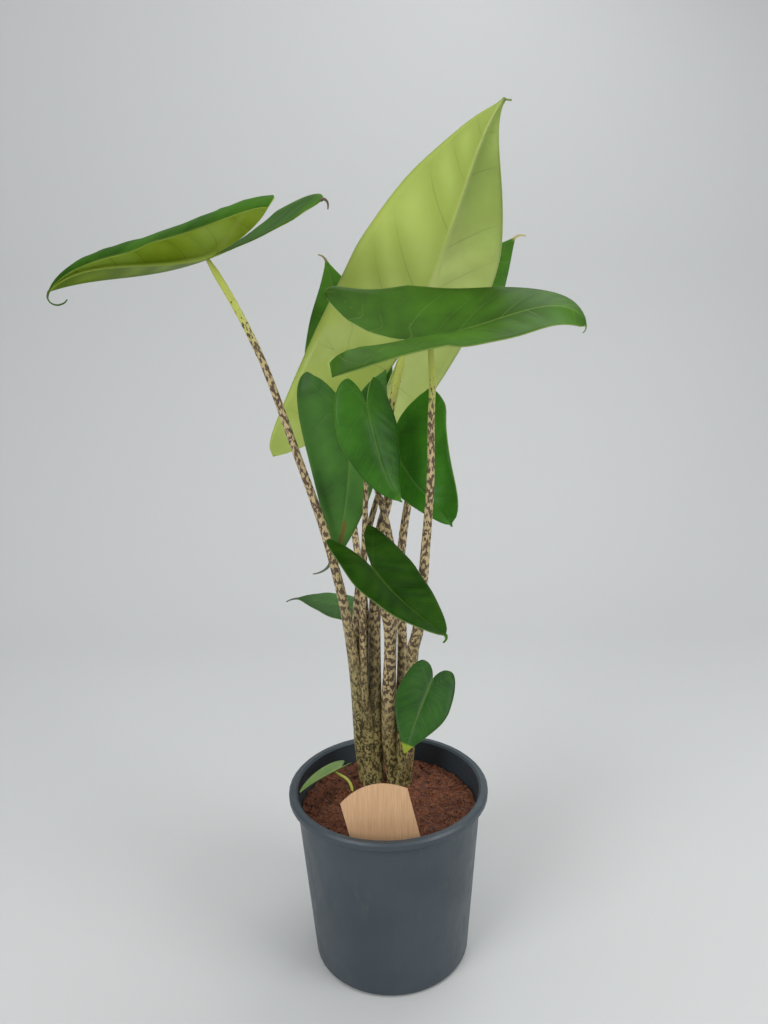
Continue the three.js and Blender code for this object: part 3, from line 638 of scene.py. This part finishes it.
def add_attribute(made, name, values, kind="FLOAT"):
    attribute = made.data.attributes.new(name, kind, "POINT")
    key = "vector" if kind == "FLOAT_VECTOR" else "value"
    attribute.data.foreach_set(key, np.asarray(values, np.float32).ravel())


def banked_frame(climb, heading, bank):
    """Ahead, left and up directions of a heading that climbs and then banks to its right."""
    climb, heading, bank = (np.asarray(v, float) for v in (climb, heading, bank))
    zero = np.zeros(np.broadcast(climb, heading).shape)
    level_x, level_y = np.cos(heading), np.sin(heading)
    ahead = np.stack([np.cos(climb) * level_x, np.cos(climb) * level_y, np.sin(climb) + zero], -1)
    level = np.stack([-level_y + zero, level_x + zero, zero], -1)
    raised = np.cross(ahead, level)
    cos, sin = np.cos(bank)[..., None], np.sin(bank)[..., None]
    return ahead, level * cos + raised * sin, raised * cos - level * sin


def blade_frame(blade):
    return banked_frame(*np.radians([blade["climb"], blade["heading"], blade["bank"]]))


# hand is 0 for the left half of a blade and 1 for its right half, t runs from its lobe end (0) to
# its apex (1), and (u, v) is a place on the flat blade, ahead of its petiole and off its midrib.
def margin_at(blade, t, hand):
    """The outline of the flat half blade at t."""
    width, gap = blade["widths"][hand], blade["gaps"][hand]
    turn = np.clip(t / WIDEST_AT, 0, 1) * math.pi / 2
    x = np.clip((t - WIDEST_AT) / (1 - WIDEST_AT), 0, 1)
    back = t < WIDEST_AT
    u_back = -blade["lobe"] + (blade["lobe"] + blade["widest"]) * (1 - np.cos(turn))
    v_back = gap + (width - gap) * np.sin(turn) ** blade["tapers"][hand]
    u_front = blade["widest"] + (blade["length"] - blade["widest"]) * x
    v_front = width * (1 - x ** 1.7) ** blade["point"] + TAIL_HALF_WIDTH * x
    return np.where(back, u_back, u_front), np.where(back, v_back, v_front)


def inner_at(blade, t, hand):
    """The inner line of the half blade: the sinus edge up to the sinus, then the midrib."""
    y = np.clip(t / SINUS_AT, 0, 1)
    share = np.clip((t - SINUS_AT) / (1 - SINUS_AT), 0, 1)
    lobe = blade["lobe"] * ((1 - y) ** 2 + 2 * blade["round"] * y * (1 - y))
    u_back = -(lobe + blade["sinus"] * y * y)
    v_back = blade["gaps"][hand] * ((1 - y) ** 2 + 0.6 * y * (1 - y))
    u_front = -blade["sinus"] + (blade["length"] + blade["sinus"]) * share
    back = t < SINUS_AT
    return np.where(back, u_back, u_front), np.where(back, v_back, 0.0)


def bend_at(blade, u, hand):
    """Pitch and yaw of the midrib at u; behind the sinus the lobe of that side rises or falls."""
    length, fall, turn = blade["tail"]
    share = np.clip(u / blade["length"], 0, 1)
    back = np.maximum(0, -(u + blade["sinus"]) / blade["lobe"])
    tail = np.maximum(0, (u - blade["length"]) / length)
    lobe = blade["lobes"][hand]
    pitch = lobe * back - blade["arch"] * share - blade["dip"] * share ** 5 - fall * tail
    return np.radians(pitch), np.radians(blade["sweep"] * share + turn * tail)


def spine_at(blade, u, hand):
    """Places, left and up directions of the midrib line at u, in the blade's own frame."""
    steps = (np.arange(SPINE_STEPS) + 0.5) / SPINE_STEPS
    pitch, yaw = bend_at(blade, u[..., None] * steps, hand)
    level = np.cos(pitch)
    along = np.stack([level * np.cos(yaw), level * np.sin(yaw), np.sin(pitch)], -1)
    at = along.sum(-2) * (u / SPINE_STEPS)[..., None]
    pitch, yaw = bend_at(blade, u, hand)
    _, left, up = banked_frame(pitch, yaw, np.radians(blade["twist"] * u / blade["length"]))
    return at, left, up


def blade_points(blade, u, v, edge, t, hand):
    """Places of the bent blade that lie at (u, v) when it is flat.

    edge is 0 on the inner line and 1 on the margin.
    """
    at, left, up = spine_at(blade, u, hand)
    side = 1 - 2 * hand
    curl = edge + (1 - edge) * blade["end_curl"] * np.maximum(0, 1 - t / SINUS_AT) ** 2
    kept = 1 - blade["flatten"][hand] * np.clip(u / blade["length"], 0, 1)
    rise = np.radians((blade["folds"][hand] + 0.5 * blade["curls"][hand] * curl) * kept)
    wave = blade["wave"] * edge * edge * np.sin(2 * math.pi * (3.2 * t + 0.3 * hand))
    lift = v * np.sin(rise) + wave * np.sin(math.pi * np.minimum(t, 1))
    local = at + left * (side * v * np.cos(rise))[..., None] + up * lift[..., None]
    axes = np.stack(blade_frame(blade))
    return np.array(blade["at"]) + local @ axes


def vein_spacing(blade):
    return max(LEAST_VEIN_SPACING, (blade["length"] + blade["lobe"]) / VEINS_PER_BLADE)


def veins_at(blade, u, v, edge, hand):
    """The side veins' phase, the ribs' height (0 to 1) and the swelling between veins (0 to 1)."""
    width = blade["widths"][hand]
    ahead = u / blade["length"]
    spacing = vein_spacing(blade)
    rib_width = MIDRIB_HALF_WIDTH + (blade["length"] + blade["lobe"]) / 150

    # The midrib narrows and sinks towards the apex
    half = rib_width * np.clip(1.05 - 0.9 * np.maximum(u, 0) / blade["length"], 0.2, 1)
    midrib = np.clip(1 - np.abs(v) / half, 0, 1) * (u > -blade["sinus"] - 1)
    midrib = midrib * np.clip((1.04 - ahead) / 0.16, 0.1, 1)

    # The lobe's rib runs from just behind the petiole nearly to the lobe end
    start = np.array([-blade["sinus"] * 0.6, 0.0])
    lobe_end = np.array([-blade["lobe"] * 0.92, blade["gaps"][hand] + 0.12 * width])
    reach = np.linalg.norm(lobe_end - start)
    axis = (lobe_end - start) / reach
    off = np.stack([u - start[0], v - start[1]], -1)
    along_rib = off @ axis
    across_rib = np.abs(off[..., 0] * -axis[1] + off[..., 1] * axis[0])
    rib_half = rib_width * np.clip(0.85 - 0.7 * along_rib / reach, 0.15, 1) + 1.0
    inside = (along_rib > 0) & (along_rib < reach * 0.97)
    lobe_rib = np.where(inside, np.clip(1 - across_rib / rib_half, 0, 1), 0) * LOBE_RIB_HEIGHT

    # Side veins leave the midrib and the lobe's rib at a slant, a little unevenly
    front = (u - 0.75 * v - 0.3 * v * v / width) / spacing
    back = (along_rib - 0.6 * across_rib) / (spacing * 0.9)
    phase = np.where(u + v * 0.35 > 0, front, -0.5 - back)
    phase = phase + 0.16 * np.sin(2.3 * phase + 1.9 * hand + blade["length"])
    swell = 0.5 - 0.5 * np.cos(2 * math.pi * phase)
    fade = np.clip(v / 14, 0, 1) * np.clip((1 - edge) / 0.3, 0, 1)
    return dict(phase=phase, rib=np.maximum(midrib ** 0.8, lobe_rib), quilt=swell * fade)


def blade_half(blade, hand):
    """The grid of one half blade: its places, and the fields that its materials read there."""
    tail_length = blade["tail"][0]
    tail_rows = max(2, round(tail_length / TAIL_STEP))
    ts = [SINUS_AT * i / LOBE_ROWS for i in range(LOBE_ROWS)]
    ts += [SINUS_AT + (1 - SINUS_AT) * i / BLADE_ROWS for i in range(BLADE_ROWS + 1)]
    t = np.array(ts + [1.0] * tail_rows)
    inner_u, inner_v = inner_at(blade, t, hand)
    margin_u, margin_v = margin_at(blade, t, hand)
    share = np.arange(1, tail_rows + 1) / tail_rows
    inner_u[-tail_rows:] = margin_u[-tail_rows:] = blade["length"] + tail_length * share
    margin_v[-tail_rows:] = TAIL_HALF_WIDTH + (TAIL_END_HALF_WIDTH - TAIL_HALF_WIDTH) * share
    columns = (np.arange(COLUMNS + 1) / COLUMNS) ** COLUMN_CROWDING
    edge = np.broadcast_to(columns, (len(t), COLUMNS + 1)).copy()
    u = inner_u[:, None] + (margin_u - inner_u)[:, None] * edge
    v = inner_v[:, None] + (margin_v - inner_v)[:, None] * edge
    bend_edge = edge.copy()
    bend_edge[0] = 0
    places = blade_points(blade, u, v, bend_edge, np.broadcast_to(t[:, None], u.shape), hand)
    fields = veins_at(blade, u, v, edge, hand)
    fields.update(across=edge, along=u / blade["length"], beside=v * (1 - 2 * hand))
    return places, fields


def blade_surface(blade):
    """The middle surface of a blade: its places, its faces seen from above, and its fields."""
    places, faces, index = [], [], {}
    halves = [blade_half(blade, hand) for hand in (0, 1)]
    rows = len(halves[0][0])
    fields = {name: [] for name in halves[0][1]}

    def key_of(hand, row, column):
        """Both halves share the midrib's points, and a lobe end is a single point."""
        shared = column == 0 and row >= LOBE_ROWS
        return (0 if shared else hand, row, 0 if row == 0 else column)

    for hand, row, column in np.ndindex(2, rows, COLUMNS + 1):
        key = key_of(hand, row, column)
        if key in index:
            continue
        half_places, half_fields = halves[hand]
        index[key] = len(places)
        places.append(half_places[row, column])
        for name, values in fields.items():
            values.append(half_fields[name][row, column])
    for hand, row, column in np.ndindex(2, rows - 1, COLUMNS):
        corners = ((row, column), (row + 1, column), (row + 1, column + 1), (row, column + 1))
        face = list(dict.fromkeys(index[key_of(hand, *corner)] for corner in corners))
        if len(face) >= 3:
            faces.append(face[::-1] if hand else face)
    return np.array(places), faces, {name: np.array(values) for name, values in fields.items()}


def blade_mesh(name, blade, materials):
    """A closed thin blade: ribs raised on its under side, swollen upwards between its veins."""
    places, faces, fields = blade_surface(blade)
    normals = vertex_normals(places, faces)
    size = blade["length"] + blade["lobe"]
    rib = fields["rib"]
    rib_height = MIDRIB_HEIGHT * min(1.0, 0.35 + size / 320)
    relief = fields["quilt"] * QUILT_DEPTH * min(1.0, size / FULL_QUILT_SIZE)
    above = BLADE_THICKNESS / 2 + relief - RIB_SINK_ABOVE * rib * rib_height
    below = BLADE_THICKNESS / 2 - relief + rib * rib_height
    upper = places + normals * above[:, None]
    lower = places - normals * below[:, None]
    count = len(places)
    edges = dict.fromkeys((a, b) for face in faces for a, b in zip(face, face[1:] + face[:1]))
    under_faces = [[count + p for p in reversed(face)] for face in faces]
    rim_faces = [[b, a, count + a, count + b] for a, b in edges if (b, a) not in edges]
    slots = [0] * len(faces) + [1] * (len(under_faces) + len(rim_faces))
    all_faces = faces + under_faces + rim_faces
    made = mesh_object(name, np.concatenate([upper, lower]), all_faces, materials, slots)
    for key, values in fields.items():
        add_attribute(made, key, np.tile(values, 2))
    return made


def vertex_normals(points, faces):
    normals = np.zeros_like(points)
    for face in faces:
        a, b, c = points[face[0]], points[face[1]], points[face[2]]
        normal = np.cross(b - a, c - a)
        if len(face) == 4:
            d = points[face[3]]
            normal = normal + np.cross(c - a, d - a)
        for p in face:
            normals[p] += normal
    return normals / np.maximum(np.linalg.norm(normals, axis=1), 1e-9)[:, None]


def blend(p, q, start, end, t):
    return p * (end - t) / (end - start) + q * (t - start) / (end - start)


def smooth_route(points, step):
    """Evenly spaced places on a centripetal Catmull-Rom curve, and how far along it they are."""
    points = [np.array(p, float) for p in points]
    ends = [2 * points[0] - points[1], *points, 2 * points[-1] - points[-2]]
    dense = []
    for p0, p1, p2, p3 in zip(ends, ends[1:], ends[2:], ends[3:]):
        knots = [0.0]
        for a, b in ((p0, p1), (p1, p2), (p2, p3)):
            knots.append(knots[-1] + max(np.linalg.norm(b - a), 1e-6) ** 0.5)
        t0, t1, t2, t3 = knots
        for i in range(ROUTE_STEPS):
            t = t1 + (t2 - t1) * i / ROUTE_STEPS
            a1 = blend(p0, p1, t0, t1, t)
            a2 = blend(p1, p2, t1, t2, t)
            a3 = blend(p2, p3, t2, t3, t)
            b1 = blend(a1, a2, t0, t2, t)
            b2 = blend(a2, a3, t1, t3, t)
            dense.append(blend(b1, b2, t1, t2, t))
    dense.append(points[-1])
    dense = np.array(dense)
    lengths = np.concatenate([[0], np.cumsum(np.linalg.norm(np.diff(dense, axis=0), axis=1))])
    count = max(4, round(lengths[-1] / step))
    wanted = np.linspace(0, lengths[-1], count + 1)
    return np.stack([np.interp(wanted, lengths, dense[:, k]) for k in range(3)], -1), wanted


class Tubes:
    """Several closed tubes gathered in one mesh, with what the banded material reads.

    wrap is a point's place on the tube's skin, shifted by its seed; share is how far down it is.
    """

    def __init__(self):
        self.points = []
        self.faces = []
        self.wrap = []
        self.share = []

    def add(self, route, radius_at, sides, seed, share_at=None, step=PETIOLE_STEP):
        centres, run = smooth_route(route, step)
        tangents = np.gradient(centres, axis=0)
        tangents /= np.linalg.norm(tangents, axis=1)[:, None]
        normal = np.cross(tangents[0], [0.0, 1.0, 0.0])
        normal /= np.linalg.norm(normal)
        base = len(self.points)
        for centre, tangent, at in zip(centres, tangents, run):
            normal = normal - tangent * normal.dot(tangent)
            normal /= np.linalg.norm(normal)
            other = np.cross(tangent, normal)
            share = at / run[-1]
            radius = radius_at(share)
            wide = 1 + radius * 0.12
            for k in range(sides):
                turn = 2 * math.pi * k / sides
                cos, sin = math.cos(turn), math.sin(turn)
                self.points.append(centre + (normal * cos + other * sin) * radius)
                self.wrap.append((cos * wide + seed * 7.3, sin * wide + seed * 3.1, at / 10))
                self.share.append(share if share_at is None else share_at(centre))
        last = base + (len(centres) - 1) * sides
        for ring in range(base, last, sides):
            for k in range(sides):
                a, b = ring + k, ring + (k + 1) % sides
                self.faces.append([a, b, b + sides, a + sides])
        self.faces.append([base + k for k in reversed(range(sides))])
        self.faces.append([last + k for k in range(sides)])

    def build(self, name, material):
        made = mesh_object(name, self.points, self.faces, [material])
        add_attribute(made, "wrap", self.wrap, "FLOAT_VECTOR")
        add_attribute(made, "share", self.share)
        return made


def petiole_top(blade, radius):
    """The top of a petiole lies just clear of the underside of its blade."""
    drop = CAD_BLADE_THICKNESS / 2 + CLEARANCE + radius / 2
    _, _, up = blade_frame(blade)
    return np.array(blade["at"]) - up * drop


def build_petioles(name, petioles, material, node):
    tubes = Tubes()
    for seed, (blade_name, top, foot, swell, route) in enumerate(petioles, len(petioles)):
        blade = BLADES[blade_name]
        high = blade["at"][2]
        points = [petiole_top(blade, top), *route, (*route[-1][:2], SHEATH_BOTTOM)]

        def radius_at(share):
            tip = 0.55 + 0.45 * min(1.0, share * 40)
            return tip * (top + (foot - top) * share ** swell)

        def share_at(centre):
            return float(np.clip((high - centre[2]) / (high - SOIL_LEVEL), 0, 1))

        tubes.add(points, radius_at, PETIOLE_SIDES, seed, share_at)
    made = tubes.build(name, material)
    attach(made, "root")
    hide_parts(node)


petioles_look = petiole_material("petiole_banded")
build_petioles("left_petioles", LEFT_PETIOLES, petioles_look, "left_plantlet_petioles")
build_petioles("right_petioles", RIGHT_PETIOLES, petioles_look, "right_plantlet_petioles")

for blade_name, blade in BLADES.items():
    spacing = vein_spacing(blade)
    upper_look = blade_upper(blade_name, LOOKS[blade_name], spacing)
    under_look = blade_under(blade_name, LOOKS[blade_name], spacing)
    made = blade_mesh(blade_name + "_fine", blade, [upper_look, under_look])
    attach(made, "root")
    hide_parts(blade_name)

# The dry, hooked end of the far-left blade's far lobe
far_left = BLADES["blade_far_left"]
end_u = np.array([-far_left["lobe"]])
end_v = np.array([far_left["gaps"][1]])
lobe_end = blade_points(far_left, end_u, end_v, np.zeros(1), np.zeros(1), 1)[0]
dry_hook = Tubes()
dry_hook.add(
    [lobe_end + offset for offset in DRY_HOOK],
    lambda share: DRY_HOOK_RADIUS - DRY_HOOK_TAPER * share,
    DRY_HOOK_SIDES, 1, step=1.0)
dry_piece = dry_hook.build("far_lobe_dry_end", flat_material("dry_tip", DRY_COLOUR, 0.7))
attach(dry_piece, "root")

# The young leaf: its blade and its thin petiole
young_look = young_material("young_leaf_pale", vein_spacing(YOUNG_BLADE))
young_blade = blade_mesh("young_blade", YOUNG_BLADE, [young_look, young_look])
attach(young_blade, "root")
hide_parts("young_leaf")
young_tube = Tubes()
young_tube.add(
    [YOUNG_BLADE["at"], *YOUNG_PETIOLE["route"]],
    lambda share: YOUNG_PETIOLE["top"] + (YOUNG_PETIOLE["foot"] - YOUNG_PETIOLE["top"]) * share,
    YOUNG_PETIOLE["sides"], 1, lambda centre: 0.0)
young_stalk = young_tube.build("young_petiole", petioles_look)
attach(young_stalk, "root")
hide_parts("young_leaf")

# Pot and label keep their CAD meshes; the pot's facets are only shaded round
for node_name, look in (("pot", pot_material()), ("label", label_material())):
    node_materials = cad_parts[node_name].data.materials
    node_materials.clear()
    node_materials.append(look)
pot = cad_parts["pot"]
pot.data.polygons.foreach_set("use_smooth", [True] * len(pot.data.polygons))
pot.modifiers.new("weld", "WELD").merge_threshold = 0.00001
pot.modifiers.new("split", "EDGE_SPLIT").split_angle = math.radians(POT_EDGE_ANGLE)

# Soil. Random numbers are drawn in this order: its grain, the crumbs, the fibres.
random = np.random.default_rng(11)


def soil_height(x, y):
    """Height of the CAD's soil: a low mound round the plantlets, roughened by crossing waves."""
    from_middle = math.dist((x, y), SOIL_MOUND_PLACE)
    mound = SOIL_MOUND * math.exp(-((from_middle / SOIL_MOUND_WIDTH) ** 2))
    rough = math.sin(x * 0.21 + 1.3) * math.cos(y * 0.17) + math.sin((x + y) * 0.33 + 0.4) * 0.6
    return SOIL_LEVEL + mound + SOIL_ROUGHNESS * rough


def spoke_place(radius, spoke):
    turn = 2 * math.pi * spoke / SOIL_SPOKES
    return radius * math.sin(turn), -radius * math.cos(turn)


def soil_plug():
    """The whole soil, with a flat bottom and a grained top; the grain fades at the pot's wall."""
    points = [(0, 0, SOIL_BOTTOM)]
    for spoke in range(SOIL_SPOKES):
        points.append((*spoke_place(SOIL_BOTTOM_RADIUS, spoke), SOIL_BOTTOM))
    for ring in range(SOIL_RINGS):
        grain = SOIL_GRAIN if ring else SOIL_EDGE_GRAIN
        for spoke in range(SOIL_SPOKES):
            x, y = spoke_place(SOIL_RADIUS * (1 - ring / SOIL_RINGS), spoke)
            points.append((x, y, soil_height(x, y) + random.normal(0, grain)))
    points.append((0, 0, soil_height(0, 0)))
    faces = []
    last = 1 + SOIL_RINGS * SOIL_SPOKES
    for k in range(SOIL_SPOKES):
        after = (k + 1) % SOIL_SPOKES
        faces.append([0, 1 + after, 1 + k])
        for a in range(1, last, SOIL_SPOKES):
            b = a + SOIL_SPOKES
            faces.append([a + k, a + after, b + after, b + k])
        faces.append([last + k, last + after, len(points) - 1])
    return points, faces


def on_soil(reach):
    """A random place on the soil, within that share of its radius."""
    while True:
        x, y = random.uniform(-SOIL_RADIUS, SOIL_RADIUS, 2)
        if math.hypot(x, y) < SOIL_RADIUS * reach:
            return x, y, soil_height(x, y)


def crumbs():
    """Loose crumbs of the mix: rough little blocks of eight corners, sunk a little in the soil."""
    corners = np.array([(a, b, c) for a in (-1, 1) for b in (-1, 1) for c in (-1, 1)], float)
    sides = [(0, 1, 3, 2), (4, 6, 7, 5), (0, 4, 5, 1), (2, 3, 7, 6), (0, 2, 6, 4), (1, 5, 7, 3)]
    points, faces = [], []
    for _ in range(CRUMBS):
        x, y, z = on_soil(CRUMB_REACH)
        size = CRUMB_SIZE + CRUMB_SPREAD * random.random() ** 3
        stretch = random.uniform(0.6, 1.4, 3)
        angle = random.uniform(0, 6.28)
        turn = Matrix.Rotation(angle, 3, Vector(random.normal(size=3)).normalized())
        base = len(points)
        for corner in corners:
            jitter = corner * stretch * size * random.uniform(0.7, 1.05)
            points.append(tuple(np.array(turn @ Vector(jitter)) + (x, y, z + 0.2 * size)))
        faces += [[base + i for i in side] for side in sides]
    return points, faces


def fibres():
    """Coir fibres: short thin arcs with three long edges that lie on the soil."""
    points, faces = [], []
    limit = SOIL_RADIUS * FIBRE_END_REACH
    for _ in range(FIBRES):
        x, y, _ = on_soil(FIBRE_REACH)
        heading = random.uniform(0, 2 * math.pi)
        bend = random.normal(0, 0.25)
        length = random.uniform(*FIBRE_LENGTHS)
        half = random.uniform(*FIBRE_HALF_WIDTHS)
        base = len(points)
        for i in range(FIBRE_STEPS + 1):
            turn = heading + bend * i
            if i:
                x += math.cos(turn) * length / FIBRE_STEPS
                y += math.sin(turn) * length / FIBRE_STEPS
            x, y = np.clip([x, y], -limit, limit)
            lift = soil_height(x, y) + 0.7 + 0.5 * math.sin(i * 1.4)
            aside, across = -math.sin(turn) * half, math.cos(turn) * half
            points.append((x + aside, y + across, lift))
            points.append((x - aside, y - across, lift))
            points.append((x, y, lift + half * 1.7))
        end = base + 3 * FIBRE_STEPS
        for a in range(base, end, 3):
            faces += [[a + i, a + 3 + i, a + 3 + j, a + j] for i, j in ((0, 2), (2, 1), (1, 0))]
        faces += [[base, base + 2, base + 1], [end, end + 1, end + 2]]
    return points, faces


soil_fine = mesh_object("soil_fine", *soil_plug(), [soil_material("soil_mix", SOIL_COLOURS, 170.0)])
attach(soil_fine, "root")
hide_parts("soil")

crumb_look = soil_material("soil_crumb", SOIL_COLOURS, 90.0)
crumb_piece = mesh_object("soil_crumbs", *crumbs(), [crumb_look], smooth=False)
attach(crumb_piece, "root")

fibre_look = soil_material("coir_fibre", FIBRE_COLOURS, 60.0)
fibre_piece = mesh_object("soil_fibres", *fibres(), [fibre_look])
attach(fibre_piece, "root")


# Stage, light and camera
def stage():
    """A pale floor that curves up into a pale backdrop."""
    foot = STAGE_BACK - STAGE_BEND
    profile = [(STAGE_FRONT, 0), (foot, 0)]
    for i in range(1, STAGE_BEND_STEPS + 1):
        turn = math.pi / 2 * i / STAGE_BEND_STEPS
        profile.append((foot + STAGE_BEND * math.sin(turn), STAGE_BEND * (1 - math.cos(turn))))
    profile.append((STAGE_BACK, STAGE_HEIGHT))
    points = [(x, y, z) for y, z in profile for x in (-STAGE_HALF_WIDTH, STAGE_HALF_WIDTH)]
    faces = [[a, a + 1, a + 3, a + 2] for a in range(0, len(points) - 2, 2)]
    made = mesh_object("floor", points, faces, [flat_material("floor_pale", STAGE_COLOUR, 0.85)])


def area_light(name, place, aim_height, size, power):
    light = bpy.data.lights.new(name, "AREA")
    light.shape = "RECTANGLE"
    light.size, light.size_y = size
    light.energy = power
    lamp = bpy.data.objects.new(name, light)
    lamp.location = place
    aim = Vector((0, 0, aim_height)) - Vector(place)
    lamp.rotation_euler = aim.to_track_quat("-Z", "Y").to_euler()
    bpy.context.scene.collection.objects.link(lamp)


stage()
for light in LIGHTS:
    area_light(*light)

world = bpy.data.worlds.new("studio")
world.use_nodes = True
background = world.node_tree.nodes["Background"]
background.inputs["Color"].default_value = SKY_COLOUR
background.inputs["Strength"].default_value = SKY_STRENGTH
bpy.context.scene.world = world
bpy.context.scene.view_settings.view_transform = "Standard"

camera_data = bpy.data.cameras.new("camera")
camera_data.lens = CAMERA_LENS
camera_data.sensor_width = SENSOR_LONG_SIDE
camera_data.clip_end = CAMERA_REACH
camera = bpy.data.objects.new("camera", camera_data)
pitched = Matrix.Rotation(math.radians(90 - CAMERA_PITCH), 4, "X")
rolled = Matrix.Rotation(math.radians(-CAMERA_ROLL), 4, "Z")
camera.matrix_world = Matrix.Translation(CAMERA_PLACE) @ pitched @ rolled
bpy.context.scene.collection.objects.link(camera)
bpy.context.scene.camera = camera
